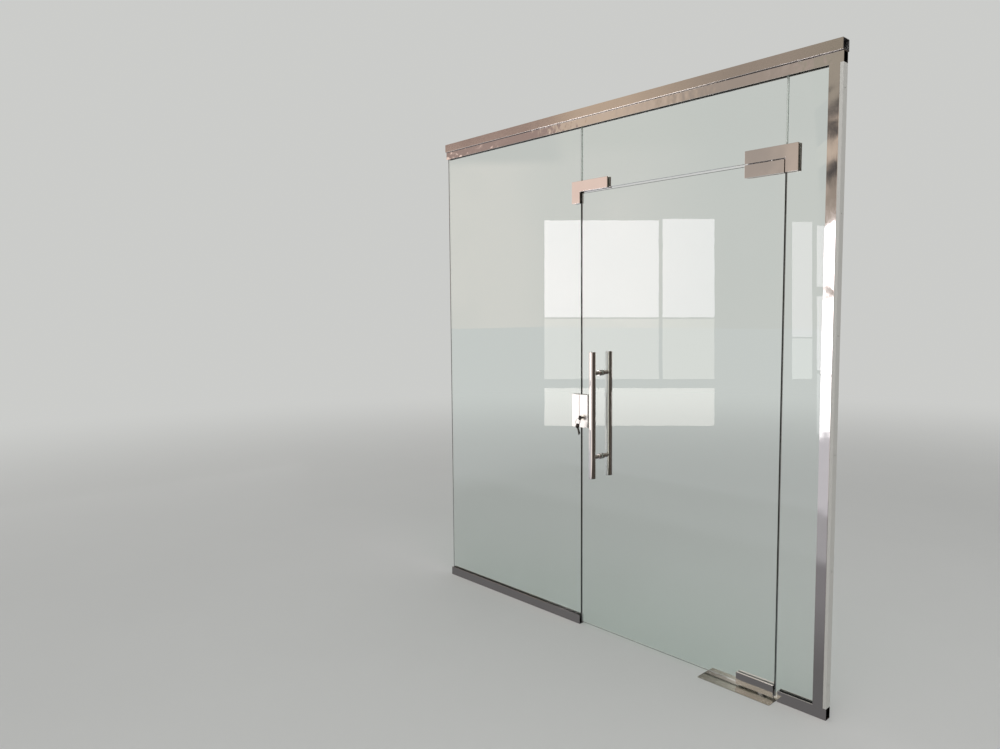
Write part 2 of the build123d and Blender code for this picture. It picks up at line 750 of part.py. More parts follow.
# Lock case on the leaf. Its back half reaches through the glass and guides the bolt.
lock_screw_planes = [Plane((x, lock_face, z), z_dir=(0, 1, 0)) for x, z in lock_screws]
bolt_left = lock_left + bolt_setback
bolt_length = lock_block[0][1] - bolt_end_wall - drill_clearance - bolt_left
with BuildPart() as lock_front:
    add(lock_half(lock_case, FRONT).part)
    with Locations(across(FRONT, lock_face) * Pos(cylinder_x, cylinder_z, 0)):
        Hole(sleeve_radius)
    with Locations(*lock_screw_planes):
        Hole(lock_screw_radius + thread_clearance, depth=lock_screw_reach + drill_clearance)
finish(lock_front, "lock_front")

with BuildPart() as lock_back:
    add(lock_half(lock_case, BACK).part)
    with BuildSketch(across(BACK, pad_face)):
        draw_boxes(lock_block)
    extrude(amount=2 * pad_face - clamp_gap)
    with Locations(*lock_screw_planes):
        CounterSinkHole(lock_screw_radius + hole_clearance, lock_screw_head_radius + head_clearance,
                        counter_sink_angle=90)
    with BuildSketch(across(FRONT, pad_face)):
        draw_circles([(cylinder_x, cylinder_z)], sleeve_radius)
    extrude(amount=-(sleeve_length - lock_face + pad_face - sleeve_proud), mode=Mode.SUBTRACT)
    with BuildSketch(Plane.YZ.offset(lock_left)):
        with Locations((0, lock_height_centre)):
            Rectangle(bolt_thickness + 2 * bolt_slide_clearance, bolt_height + 2 * bolt_slide_clearance)
    extrude(amount=bolt_length + bolt_setback + drill_clearance, mode=Mode.SUBTRACT)
finish(lock_back, "lock_back")

# Bolt, drawn back into the case so that the leaf can swing
with BuildPart() as bolt:
    with BuildSketch(Plane.YZ.offset(bolt_left)):
        with Locations((0, lock_height_centre)):
            Rectangle(bolt_thickness, bolt_height)
    extrude(amount=bolt_length)
    chamfer(bolt.faces().sort_by(Axis.X)[0].edges(), bolt_edge)
finish(bolt, "bolt")

# Strike box on the left sidelight, with the pocket that takes the bolt
strike_screw_planes = [Plane((x, lock_face, z), z_dir=(0, 1, 0)) for x, z in strike_screws]
with BuildPart() as strike_front:
    add(lock_half(strike_case, FRONT).part)
    with Locations(*strike_screw_planes):
        Hole(lock_screw_radius + thread_clearance, depth=lock_screw_reach + drill_clearance)
finish(strike_front, "strike_front")

pocket_depth = bolt_travel - lock_gap - bolt_setback + 2 * strike_clearance + bolt_edge
with BuildPart() as strike_back:
    add(lock_half(strike_case, BACK).part)
    with BuildSketch(across(BACK, pad_face)):
        draw_boxes(strike_block)
    extrude(amount=2 * pad_face - clamp_gap)
    with Locations(*strike_screw_planes):
        CounterSinkHole(lock_screw_radius + hole_clearance, lock_screw_head_radius + head_clearance,
                        counter_sink_angle=90)
    with BuildSketch(Plane.YZ.offset(strike_right)):
        with Locations((0, lock_height_centre)):
            Rectangle(bolt_thickness + 2 * strike_clearance, bolt_height + 2 * strike_clearance)
    extrude(amount=-pocket_depth, mode=Mode.SUBTRACT)
finish(strike_back, "strike_back")

# Cylinder sleeve with its flange on the case, and the plug that turns in it
plug_face = lock_face + sleeve_proud + plug_proud
with BuildPart() as cylinder_sleeve:
    with BuildSketch(across(FRONT, lock_face + sleeve_proud)):
        draw_circles([(cylinder_x, cylinder_z)], sleeve_radius)
    extrude(amount=-sleeve_length)
    with BuildSketch(across(FRONT, lock_face)):
        draw_circles([(cylinder_x, cylinder_z)], sleeve_flange_radius)
    extrude(amount=sleeve_proud)
    chamfer(cylinder_sleeve.faces().sort_by(Axis.Y)[0].edges(), sleeve_edge)
    with BuildSketch(across(FRONT, lock_face + sleeve_proud)):
        draw_circles([(cylinder_x, cylinder_z)], plug_radius + plug_running_clearance)
    extrude(amount=-sleeve_length, mode=Mode.SUBTRACT)
finish(cylinder_sleeve, "cylinder_sleeve")

with BuildPart() as cylinder_plug:
    with BuildSketch(across(FRONT, plug_face)):
        draw_circles([(cylinder_x, cylinder_z)], plug_radius)
    extrude(amount=-plug_length)
    with BuildSketch(across(FRONT, plug_face)):
        with Locations((cylinder_x, cylinder_z)):
            Rectangle(key_thickness + 2 * keyway_clearance, key_blade + 4 * keyway_clearance)
    extrude(amount=-plug_length, mode=Mode.SUBTRACT)
finish(cylinder_plug, "cylinder_plug")

# Keys are drawn about the middle of the hole in the bow, with the blade along -X of the sketch
bow_middle = key_hole_inset - key_bow_radius
blade_start = bow_middle - key_neck
blade_tip = blade_start - key_shoulder - key_blade_length


def draw_key():
    """Draw a flat key: a round bow with a hole, a neck, and a blade with cuts along one edge."""
    with Locations((bow_middle, 0)):
        Circle(key_bow_radius)
    with Locations(((bow_middle + blade_start) / 2, 0)):
        Rectangle(key_neck, key_neck_width)
    with Locations(((blade_start + blade_tip) / 2, 0)):
        Rectangle(blade_start - blade_tip, key_blade)
    cuts = [(blade_tip + key_shoulder + i * key_cut_pitch, key_blade / 2) for i in range(key_cut_count)]
    with Locations(*cuts):
        Rectangle(key_cut_depth, 2 * key_cut_depth, rotation=45, mode=Mode.SUBTRACT)
    with Locations((0, 0)):
        Circle(key_hole_radius, mode=Mode.SUBTRACT)


key_hole_y = blade_start - plug_face - key_stand_off
key_plane = Plane((cylinder_x, key_hole_y, cylinder_z), x_dir=(0, -1, 0), z_dir=(1, 0, 0))
with BuildPart() as key:
    with BuildSketch(key_plane):
        draw_key()
    extrude(amount=key_thickness / 2, both=True)
finish(key, "key")

# Split ring through the key's bow, and the spare keys that hang on it


def wire_rise(x):
    """How far the ring's wire has curved away at a distance from its lowest or highest point."""
    return ring_radius - sqrt(ring_radius ** 2 - x ** 2)


wire_drop = key_hole_radius - ring_wire - ring_clearance
ring_fall = Vector(0, 0, -1).rotate(Axis.X, -ring_tilt)
key_hole = Vector(cylinder_x, key_hole_y, cylinder_z)
ring_drop = wire_drop - wire_rise(key_thickness / 2) + ring_radius
ring_middle = key_hole + ring_fall * ring_drop
with BuildPart() as key_ring:
    with BuildSketch(Plane(ring_middle, x_dir=(1, 0, 0), z_dir=-ring_fall)):
        with Locations((ring_radius, 0)):
            wire = Rectangle(2 * ring_wire, 2 * ring_wire)
        chamfer(wire.vertices(), ring_edge)
    revolve(axis=Axis(ring_middle, Vector(1, 0, 0).cross(ring_fall)), revolution_arc=360)
finish(key_ring, "key_ring")

spare_key_edge = spare_key_spread + key_thickness / 2
spare_hole = ring_middle + ring_fall * (ring_radius + wire_drop - wire_rise(spare_key_edge))
spare_planes = [Plane(spare_hole + Vector(side * spare_key_spread, 0, 0),
                      x_dir=Vector(0, 0, 1).rotate(Axis.X, tilt), z_dir=(1, 0, 0))
                for side, tilt in zip((-1, 1), spare_key_tilts)]
with BuildPart() as spare_keys:
    for plane in spare_planes:
        with BuildSketch(plane):
            draw_key()
        extrude(amount=key_thickness / 2, both=True)
finish(spare_keys, "spare_keys")

# Pull handle: a tube each side of the leaf on posts that are tied through the glass
bar_gap = handle_offset - bar_radius


def handle_bar(side):
    """One tube of the pull handle, drilled on the glass side for its two posts."""
    with BuildPart() as bar:
        with BuildSketch(Plane.XY.offset(handle_low + cap_thickness)):
            with Locations((handle_x, side * handle_offset)):
                Circle(bar_radius)
                Circle(bar_radius - bar_wall, mode=Mode.SUBTRACT)
        extrude(amount=handle_length - 2 * cap_thickness)
        with BuildSketch(across(side, handle_offset)):
            draw_circles(post_places, post_radius + post_fit)
        extrude(amount=side * (bar_radius + bar_wall), mode=Mode.SUBTRACT)
    return bar


finish(handle_bar(FRONT), "handle_front_bar")
finish(handle_bar(BACK), "handle_back_bar")

bar_middles = [(handle_x, side * handle_offset) for side in (FRONT, BACK)]
with BuildPart() as handle_end_caps:
    for end, outwards in ((handle_low, -1), (handle_low + handle_length, 1)):
        with BuildSketch(Plane.XY.offset(end)):
            draw_circles(bar_middles, bar_radius)
        extrude(amount=-outwards * cap_thickness)
        with BuildSketch(Plane.XY.offset(end - outwards * cap_thickness)):
            draw_circles(bar_middles, bar_radius - bar_wall - post_fit)
        extrude(amount=-outwards * spigot_length)
    chamfer(handle_end_caps.faces().group_by(Axis.Z)[0].edges(), cap_edge)
    chamfer(handle_end_caps.faces().group_by(Axis.Z)[-1].edges(), cap_edge)
finish(handle_end_caps, "handle_end_caps")

collar_face = half_glass + washer_thickness
with BuildPart() as handle_posts:
    for side in (FRONT, BACK):
        with BuildSketch(across(side, collar_face)):
            draw_circles(post_places, collar_radius)
        extrude(amount=-side * collar_length)
    chamfer(handle_posts.faces().filter_by(Axis.Y).group_by(Axis.Y)[0].edges(), collar_edge)
    chamfer(handle_posts.faces().filter_by(Axis.Y).group_by(Axis.Y)[-1].edges(), collar_edge)
    for side in (FRONT, BACK):
        with BuildSketch(across(side, collar_face)):
            draw_circles(post_places, post_radius)
        extrude(amount=-side * (bar_gap + bar_wall + post_seat - collar_face))
        with BuildSketch(across(side, collar_face)):
            draw_circles(post_places, stud_radius + thread_clearance)
        extrude(amount=-side * stud_hold, mode=Mode.SUBTRACT)
finish(handle_posts, "handle_posts")

stud_end = collar_face + stud_hold - stud_end_clearance
with BuildPart() as handle_studs:
    with BuildSketch(across(FRONT, stud_end)):
        draw_circles(post_places, stud_radius)
    extrude(amount=-2 * stud_end)
finish(handle_studs, "handle_studs")

# Sleeves that keep the studs off the glass, each with a washer under the collar
with BuildPart() as handle_bushes:
    with BuildSketch(across(FRONT, half_glass)):
        draw_circles(post_places, handle_hole_radius - bush_fit)
    extrude(amount=-glass_thickness)
    for side in (FRONT, BACK):
        with BuildSketch(across(side, half_glass)):
            draw_circles(post_places, collar_radius)
        extrude(amount=-side * washer_thickness)
    with BuildSketch(across(FRONT, collar_face)):
        draw_circles(post_places, stud_radius + hole_clearance)
    extrude(amount=-2 * collar_face, mode=Mode.SUBTRACT)
finish(handle_bushes, "handle_bushes")

# Spindle: it turns in the closer and drives the leaf through a tapered square
spindle_low = -closer_headroom - spindle_bearing_depth + spindle_end_clearance
square_top_height = square_base_height + square_height
with BuildPart() as spindle:
    with BuildSketch(Plane.XY.offset(spindle_low)):
        draw_circles([(pivot_x, 0)], spindle_radius)
    extrude(amount=square_base_height - spindle_low)
    with BuildSketch(Plane.XY.offset(square_base_height)):
        with Locations((pivot_x, 0)):
            Rectangle(square_base, square_base)
    with BuildSketch(Plane.XY.offset(square_top_height)):
        with Locations((pivot_x, 0)):
            Rectangle(square_top, square_top)
    loft()
finish(spindle, "spindle")

with BuildPart() as spindle_insert:
    with BuildSketch(Plane.XY.offset(insert_socket[0])):
        with Locations((pivot_x, 0)):
            Rectangle(insert_length, insert_width)
    extrude(amount=insert_socket[1] - insert_socket[0])
    with BuildSketch(Plane.XY.offset(square_base_height)):
        with Locations((pivot_x, 0)):
            Rectangle(square_base, square_base)
    with BuildSketch(Plane.XY.offset(square_top_height)):
        with Locations((pivot_x, 0)):
            Rectangle(square_top, square_top)
    loft(mode=Mode.SUBTRACT)
    with BuildSketch(Plane.XY.offset(square_top_height)):
        with Locations((pivot_x, 0)):
            Rectangle(square_top, square_top)
    extrude(amount=square_headroom, mode=Mode.SUBTRACT)
finish(spindle_insert, "spindle_insert")

# Cement box let into the floor, with lugs for the cover plate's screws
box_length = spring_plate_length - 2 * plate_end_overhang
box_width = spring_plate_width - 2 * plate_side_overhang
box_middle = (plate_left + plate_right) / 2
lug_xs = [box_middle + end * (box_length / 2 - box_wall - lug_length / 2) for end in (-1, 1)]
with BuildPart() as cement_box:
    with BuildSketch(Plane.XY.offset(-box_depth)):
        with Locations((box_middle, 0)):
            RectangleRounded(box_length, box_width, box_corner)
    extrude(amount=box_depth)
    with BuildSketch(Plane.XY.offset(box_wall - box_depth)):
        with Locations((box_middle, 0)):
            RectangleRounded(box_length - 2 * box_wall, box_width - 2 * box_wall, box_corner - box_wall)
    extrude(amount=box_depth - box_wall, mode=Mode.SUBTRACT)
    with BuildSketch(Plane.XY):
        with Locations(*[(x, 0) for x in lug_xs]):
            Rectangle(lug_length, lug_width)
    extrude(amount=-lug_thickness)
    with Locations(*[(x, 0, 0) for x in lug_xs]):
        Hole(plate_screw_radius + thread_clearance, depth=lug_thickness + drill_clearance)
finish(cement_box, "cement_box")

# Closer body: a casting with a raised bearing for the spindle and two valve bosses
closer_low = box_wall - box_depth
closer_top = -closer_headroom
closer_length = box_length - 2 * (box_wall + closer_end_clearance)
closer_width = box_width - 2 * (box_wall + closer_side_clearance)
valve_places = [(box_middle - closer_length / 2 + valve_end_distance, side * valve_side_distance)
                for side in (-1, 1)]
with BuildPart() as closer_body:
    with BuildSketch(Plane.XY.offset(closer_low)):
        with Locations((box_middle, 0)):
            RectangleRounded(closer_length, closer_width, closer_corner)
    extrude(amount=closer_top - closer_low)
    chamfer(closer_body.faces().sort_by(Axis.Z)[-1].edges(), closer_edge)
    with BuildSketch(Plane.XY.offset(closer_top)):
        draw_circles([(pivot_x, 0)], spindle_boss_radius)
    extrude(amount=spindle_boss_height)
    with BuildSketch(Plane.XY.offset(closer_top)):
        draw_circles(valve_places, valve_boss_radius)
    extrude(amount=spindle_boss_height)
    with Locations(*[(x, y, closer_top + spindle_boss_height) for x, y in valve_places]):
        Hole(valve_hole_radius, depth=valve_depth)
    with Locations((pivot_x, 0, closer_top + spindle_boss_height)):
        Hole(spindle_radius + spindle_running_clearance, depth=spindle_bearing_depth + spindle_boss_height)
finish(closer_body, "closer_body")

# Cover plate on the floor, screwed down to the box
with BuildPart() as cover_plate:
    with BuildSketch(Plane.XY):
        with Locations((box_middle, spring_plate_shift)):
            RectangleRounded(spring_plate_length, spring_plate_width, spring_plate_corner)
    extrude(amount=spring_plate_thickness)
    chamfer(cover_plate.faces().sort_by(Axis.Z)[-1].edges(), spring_plate_edge)
    with Locations((pivot_x, 0, spring_plate_thickness)):
        Hole(spindle_hole_radius)
    with Locations(*[(x, 0, spring_plate_thickness) for x in lug_xs]):
        CounterSinkHole(plate_screw_radius + hole_clearance, plate_screw_head_radius + head_clearance,
                        counter_sink_angle=90)
finish(cover_plate, "cover_plate")

with BuildPart() as cover_plate_screws:
    place_screws([Plane.XY * Pos(x, 0, spring_plate_thickness) for x in lug_xs],
                 plate_screw_radius, plate_screw_head_radius, plate_screw_length,
                 plate_screw_socket_radius, plate_screw_socket_depth)
finish(cover_plate_screws, "cover_plate_screws")
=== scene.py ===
"""A glass entrance door between fixed panes, dressed and lit for a picture.

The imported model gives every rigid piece. This script gives each of them its finish, adds the
clear joints and the split ring that only the eye needs, and sets up the studio and the camera.
All places are in metres: +X runs along the screen towards the wall channel, +Y away from the
camera, +Z up.
"""
from __future__ import annotations

import logging
from dataclasses import dataclass, field
from enum import Enum
from math import cos, pi, radians, sin
from typing import Iterable, Mapping, Optional, Sequence, Union

import bpy
import numpy as np
from mathutils import Matrix, Vector

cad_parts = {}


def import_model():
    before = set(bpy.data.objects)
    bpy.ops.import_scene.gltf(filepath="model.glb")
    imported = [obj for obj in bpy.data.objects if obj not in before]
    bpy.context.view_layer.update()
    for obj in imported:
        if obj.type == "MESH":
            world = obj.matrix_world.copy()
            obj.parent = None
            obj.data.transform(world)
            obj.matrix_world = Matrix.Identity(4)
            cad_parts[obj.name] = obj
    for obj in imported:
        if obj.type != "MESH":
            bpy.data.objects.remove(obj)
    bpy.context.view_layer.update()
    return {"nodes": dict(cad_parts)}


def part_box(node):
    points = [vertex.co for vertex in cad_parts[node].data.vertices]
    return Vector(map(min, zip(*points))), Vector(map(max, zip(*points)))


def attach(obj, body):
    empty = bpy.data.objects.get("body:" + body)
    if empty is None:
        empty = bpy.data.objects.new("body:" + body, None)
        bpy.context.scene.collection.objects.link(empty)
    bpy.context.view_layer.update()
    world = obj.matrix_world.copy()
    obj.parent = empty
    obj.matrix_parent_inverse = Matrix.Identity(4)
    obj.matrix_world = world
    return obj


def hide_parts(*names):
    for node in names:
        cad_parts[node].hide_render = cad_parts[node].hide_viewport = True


log = logging.getLogger("glass_door")

Colour = tuple[float, float, float]
Triple = tuple[float, float, float]
Span = tuple[float, float]
Plug = Union["Wire", float, tuple]

# The Mix node's sockets for colours, by number: its two inputs and its result.
MIX_FIRST, MIX_SECOND, MIX_RESULT = 6, 7, 2


class Wire:
    """A node's output. Arithmetic on it adds Math nodes to its tree."""

    def __init__(self, bench: Bench, socket: bpy.types.NodeSocket) -> None:
        """Keep the node tree's helper, and the output that this wire starts from."""
        self.bench = bench
        self.socket = socket

    def __add__(self, other: Plug) -> Wire:
        """This wire plus another value."""
        return self.bench.maths("ADD", self, other)

    def __radd__(self, other: Plug) -> Wire:
        """Another value plus this wire."""
        return self.bench.maths("ADD", other, self)

    def __sub__(self, other: Plug) -> Wire:
        """This wire less another value."""
        return self.bench.maths("SUBTRACT", self, other)

    def __rsub__(self, other: Plug) -> Wire:
        """Another value less this wire."""
        return self.bench.maths("SUBTRACT", other, self)

    def __mul__(self, other: Plug) -> Wire:
        """This wire times another value."""
        return self.bench.maths("MULTIPLY", self, other)

    def __rmul__(self, other: Plug) -> Wire:
        """Another value times this wire."""
        return self.bench.maths("MULTIPLY", other, self)

    def rise(self, low: float, high: float) -> Wire:
        """A smooth step.

        Args:
            low: The value at which the result is still 0.
            high: The value at which the result has reached 1.

        Returns:
            A wire from 0 to 1.
        """
        return self.bench.node(
            "ShaderNodeMapRange", {"interpolation_type": "SMOOTHSTEP"},
            {"Value": self, "From Min": low, "From Max": high, "To Min": 0.0, "To Max": 1.0})


class Bench:
    """The node tree of one material or of the world, and the one method that adds its nodes."""

    def __init__(self, tree: bpy.types.NodeTree) -> None:
        """Empty the tree and keep it."""
        tree.nodes.clear()
        self.tree = tree

    def node(self, kind: str, settings: Optional[Mapping[str, object]] = None,
             inputs: Optional[Mapping[Union[int, str], Plug]] = None,
             outlet: Union[int, str] = 0) -> Wire:
        """Add a node, set it, then fill or link its inputs.

        Args:
            kind: The node's type.
            settings: Its properties.
            inputs: Values or wires by the name or number of the input.
            outlet: The name or number of the output that is wanted.

        Returns:
            The wire from that output, or one without a socket on an output node.
        """
        made = self.tree.nodes.new(kind)
        for name, value in (settings or {}).items():
            setattr(made, name, value)
        for name, value in (inputs or {}).items():
            target = made.inputs[name]
            if isinstance(value, Wire):
                self.tree.links.new(value.socket, target)
            elif isinstance(value, tuple) and len(value) == 3 and target.type == "RGBA":
                target.default_value = (*value, 1.0)
            else:
                target.default_value = value
        return Wire(self, made.outputs[outlet] if made.outputs else None)

    def maths(self, operation: str, first: Plug, second: Plug) -> Wire:
        """Add one Math node and return its result."""
        return self.node("ShaderNodeMath", {"operation": operation}, {0: first, 1: second})

    def part(self, vector: Wire, axis: str) -> Wire:
        """One part of a vector: X, Y or Z."""
        return self.node("ShaderNodeSeparateXYZ", {}, {0: vector}, outlet=axis)

    def place(self, scale: Triple = (1.0, 1.0, 1.0)) -> Wire:
        """Object coordinates in metres, times a factor along each of X, Y and Z."""
        coords = self.node("ShaderNodeTexCoord", outlet="Object")
        return self.node("ShaderNodeVectorMath", {"operation": "MULTIPLY"}, {0: coords, 1: scale})

    def noise(self, scale: float, detail: float = 2.0, roughness: float = 0.5,
              stretch: Triple = (1.0, 1.0, 1.0)) -> Wire:
        """Soft noise from 0 to 1 on Object coordinates.

        Args:
            scale: Bumps per metre.
            detail: Octaves of finer noise.
            roughness: The weight of the finer noise.
            stretch: Further scaling along each axis.

        Returns:
            The noise value.
        """
        return self.node("ShaderNodeTexNoise", {}, {
            "Vector": self.place(stretch), "Scale": scale, "Detail": detail,
            "Roughness": roughness})

    def blend(self, factor: Plug, first: Plug, second: Plug) -> Wire:
        """Mix two colours. A factor of 0 gives the first, and 1 the second."""
        return self.node("ShaderNodeMix", {"data_type": "RGBA"},
                         {0: factor, MIX_FIRST: first, MIX_SECOND: second}, outlet=MIX_RESULT)

    def mirrored(self) -> Wire:
        """1 where something is seen in a reflection, and 0 where it is seen straight."""
        return self.node("ShaderNodeLightPath", outlet="Glossy Depth").rise(0.0, 1.0)

    def glow(self, colour: Plug, strength: float = 1.0) -> Wire:
        """A shader that glows by itself."""
        return self.node("ShaderNodeEmission", {}, {"Color": colour, "Strength": strength})

    def either(self, factor: Wire, first: Wire, second: Wire) -> Wire:
        """The first shader where the factor is 0, and the second where it is 1."""
        return self.node("ShaderNodeMixShader", {}, {0: factor, 1: first, 2: second})

    def bump(self, height: Wire, distance: float, strength: float = 1.0) -> Wire:
        """A normal that a height disturbs, with the metres between its 0 and 1."""
        return self.node("ShaderNodeBump", {}, {
            "Strength": strength, "Distance": distance, "Height": height})


def new_material(name: str) -> tuple[bpy.types.Material, Bench]:
    """Make a material with an empty node tree.

    Args:
        name: The material's name.

    Returns:
        The material, and the bench of its tree.
    """
    made = bpy.data.materials.new(name)
    made.use_nodes = True
    return made, Bench(made.node_tree)


class Grain(Enum):
    """Which way a sheet was rolled or brushed, as scaling along X, Y and Z."""

    ALONG = (0.02, 1.0, 1.0)
    UPRIGHT = (1.0, 1.0, 0.02)
    EVEN = (1.0, 1.0, 1.0)


@dataclass(frozen=True)
class Finish:
    """A procedural finish. Each kind fills in the surface of its own material."""

    name: str

    def surface(self, bench: Bench) -> Mapping[str, Plug]:
        """The inputs of the Principled shader. Each kind of finish gives its own."""
        raise NotImplementedError

    def material(self) -> bpy.types.Material:
        """Make the finish's material at its first use.

        Returns:
            The material.
        """
        made = bpy.data.materials.get(self.name)
        if made is None:
            made, bench = new_material(self.name)
            shader = bench.node("ShaderNodeBsdfPrincipled", {}, self.surface(bench))
            self.close(bench, shader)
        return made

    def close(self, bench: Bench, shader: Wire) -> None:
        """Lead the shader to the material's output."""
        bench.node("ShaderNodeOutputMaterial", {}, {"Surface": shader})

    def dress(self, pieces: Iterable[bpy.types.Object]) -> None:
        """Give pieces this finish.

        Args:
            pieces: CAD nodes or new pieces.
        """
        for piece in pieces:
            if not piece.material_slots:
                piece.data.materials.append(self.material())
            for place in piece.material_slots:
                place.material = self.material()
            log.info("%s: %s", piece.name, self.name)


@dataclass(frozen=True)
class MirrorSteel(Finish):
    """Polished stainless sheet: long soft ripples, wiped smears and faint hairlines."""

    grain: Grain = Grain.ALONG
    light: Colour = (0.80, 0.765, 0.74)
    dark: Colour = (0.70, 0.665, 0.64)
    ripple: float = 0.0005
    ripple_scale: float = 14.0
    rough: float = 0.025
    wiped: Span = (0.45, 0.75)
    wiped_rough: float = 0.06
    hairline_rough: float = 0.035
    hairline_height: float = 0.015

    def surface(self, bench: Bench) -> Mapping[str, Plug]:
        """Smears change roughness and tone, ripples and hairlines bend the reflection.

        Args:
            bench: The material's node tree.

        Returns:
            The inputs of the shader.
        """
        smear = bench.noise(scale=7.0, detail=4.0, roughness=0.6)
        hairline = bench.noise(scale=900.0, detail=1.0, roughness=0.4, stretch=self.grain.value)
        wave = bench.noise(self.ripple_scale, detail=1.0, roughness=0.3)
        wiped = smear.rise(*self.wiped)
        return {
            "Base Color": bench.blend(smear, self.dark, self.light),
            "Metallic": 1.0,
            "Roughness": self.rough + self.wiped_rough * wiped + self.hairline_rough * hairline,
            "Normal": bench.bump(wave + self.hairline_height * hairline, self.ripple),
        }


@dataclass(frozen=True)
class SatinSteel(Finish):
    """Brushed stainless sheet: fine grain along one way, with slow changes of tone."""

    grain: Grain = Grain.ALONG
    light: Colour = (0.80, 0.75, 0.70)
    dark: Colour = (0.70, 0.65, 0.60)
    rough: float = 0.22
    brushed_rough: float = 0.12
    handled_rough: float = 0.08
    brushed_tone: float = 0.3
    handled_tone: float = 0.7
    brushed_depth: float = 0.00004
    brushed_strength: float = 0.6

    def surface(self, bench: Bench) -> Mapping[str, Plug]:
        """The grain changes roughness and height, handling marks change the tone.

        Args:
            bench: The material's node tree.

        Returns:
            The inputs of the shader.
        """
        brushed = bench.noise(scale=1400.0, detail=2.0, roughness=0.6, stretch=self.grain.value)
        handled = bench.noise(scale=5.0, detail=3.0, roughness=0.6)
        tone = self.handled_tone * handled + self.brushed_tone * brushed
        return {
            "Base Color": bench.blend(tone, self.dark, self.light),
            "Metallic": 1.0,
            "Roughness": self.rough + self.brushed_rough * brushed + self.handled_rough * handled,
            "Normal": bench.bump(brushed, self.brushed_depth, self.brushed_strength),
        }


@dataclass(frozen=True)
class CoverSteel(SatinSteel):
    """Brushed cover sheet whose underside is darkened with painted shade."""

    underside: float = 2.4615
    # Painted shade: a dark colour laid on the cover's underside, below its lower edge.
    underside_shade: Colour = (0.13, 0.115, 0.105)
    shade_edge: Span = (0.0001, 0.0005)

    def surface(self, bench: Bench) -> Mapping[str, Plug]:
        """The brushed sheet, with painted shade below the height of its lower edge.

        Args:
            bench: The material's node tree.

        Returns:
            The inputs of the shader.
        """
        sheet = dict(super().surface(bench))
        height = bench.part(bench.place(), "Z")
        # Below the lower edge the colour turns dark: painted shade on the underside.
        shade_full, shade_none = (self.underside + edge for edge in self.shade_edge)
        sheet["Base Color"] = bench.blend(height.rise(shade_full, shade_none), self.underside_shade, sheet["Base Color"])
        return sheet


@dataclass(frozen=True)
class RawMetal(Finish):
    """Unpolished metal, sanded, cast or turned, with blotches and a fine tooth."""

    light: Colour = (0.55, 0.55, 0.56)
    dark: Colour = (0.38, 0.38, 0.40)
    metallic: float = 1.0
    rough: float = 0.35
    tooth: float = 700.0
    depth: float = 0.00008
    grain: Grain = Grain.EVEN
    tooth_rough: float = 0.15
    blotched: Span = (0.3, 0.7)
    blotch_rough: float = 0.1
    blotch_height: float = 0.3

    def surface(self, bench: Bench) -> Mapping[str, Plug]:
        """Blotches change the tone, and the tooth changes roughness and height.

        Args:
            bench: The material's node tree.

        Returns:
            The inputs of the shader.
        """
        blotch = bench.noise(scale=38.0, detail=5.0, roughness=0.65)
        tooth = bench.noise(self.tooth, detail=3.0, roughness=0.6, stretch=self.grain.value)
        return {
            "Base Color": bench.blend(blotch.rise(*self.blotched), self.dark, self.light),
            "Metallic": self.metallic,
            "Roughness": self.rough + self.tooth_rough * tooth + self.blotch_rough * blotch,
            "Normal": bench.bump(tooth + self.blotch_height * blotch, self.depth),
        }


@dataclass(frozen=True)
class Moulded(Finish):
    """Nylon, fibre or rubber: dull, speckled and slightly uneven."""

    light: Colour = (0.83, 0.82, 0.78)
    dark: Colour = (0.74, 0.72, 0.68)
    rough: float = 0.45
    speck: float = 1500.0
    depth: float = 0.00005
    speck_tone: float = 0.6
    cloud_tone: float = 0.4
    cloud_rough: float = 0.2

    def surface(self, bench: Bench) -> Mapping[str, Plug]:
        """Specks change the tone and height, a slow cloud changes roughness.

        Args:
            bench: The material's node tree.

        Returns:
            The inputs of the shader.
        """
        speck = bench.noise(self.speck, detail=2.0, roughness=0.7)
        cloud = bench.noise(scale=30.0, detail=3.0, roughness=0.5)
        tone = self.speck_tone * speck + self.cloud_tone * cloud
        return {
            "Base Color": bench.blend(tone, self.dark, self.light),
            "Roughness": self.rough + self.cloud_rough * cloud,
            "Normal": bench.bump(speck, self.depth),
        }


@dataclass(frozen=True)
class ClearSheet(Finish):
    """Toughened glass or clear sealant, which takes green from its own thickness."""

    tint: Colour = (0.975, 0.985, 0.978)
    depth_colour: Colour = (0.20, 0.70, 0.46)
    density: float = 6.0
    ior: float = 1.52
    haze: float = 0.0
    clear: float = 1.0
    shadow: Colour = (0.86, 0.93, 0.90)
    smear_tone: float = 0.995
    smeared: Span = (0.55, 0.8)
    smear_haze: float = 0.02

    def surface(self, bench: Bench) -> Mapping[str, Plug]:
        """Wiped smears make the surface a little dull in places.

        Args:
            bench: The material's node tree.

        Returns:
            The inputs of the shader.
        """
        smear = bench.noise(scale=4.0, detail=5.0, roughness=0.65)
        dulled = tuple(self.smear_tone * part for part in self.tint)
        return {
            "Base Color": bench.blend(smear, self.tint, dulled),
            "Roughness": self.haze + self.smear_haze * smear.rise(*self.smeared),
            "IOR": self.ior,
            "Transmission Weight": self.clear,
        }

    def close(self, bench: Bench, shader: Wire) -> None:
        """Let lamps shine through, and colour the light that passes the glass.

        Args:
            bench: The material's node tree.
            shader: The shader of the surface.
        """
        lamp = bench.node("ShaderNodeLightPath", outlet="Is Shadow Ray")
        passing = bench.node("ShaderNodeBsdfTransparent", {}, {"Color": self.shadow})
        skin = bench.either(lamp, shader, passing)
        body = bench.node("ShaderNodeVolumeAbsorption", {},
                          {"Color": self.depth_colour, "Density": self.density})
        bench.node("ShaderNodeOutputMaterial", {}, {"Surface": skin, "Volume": body})


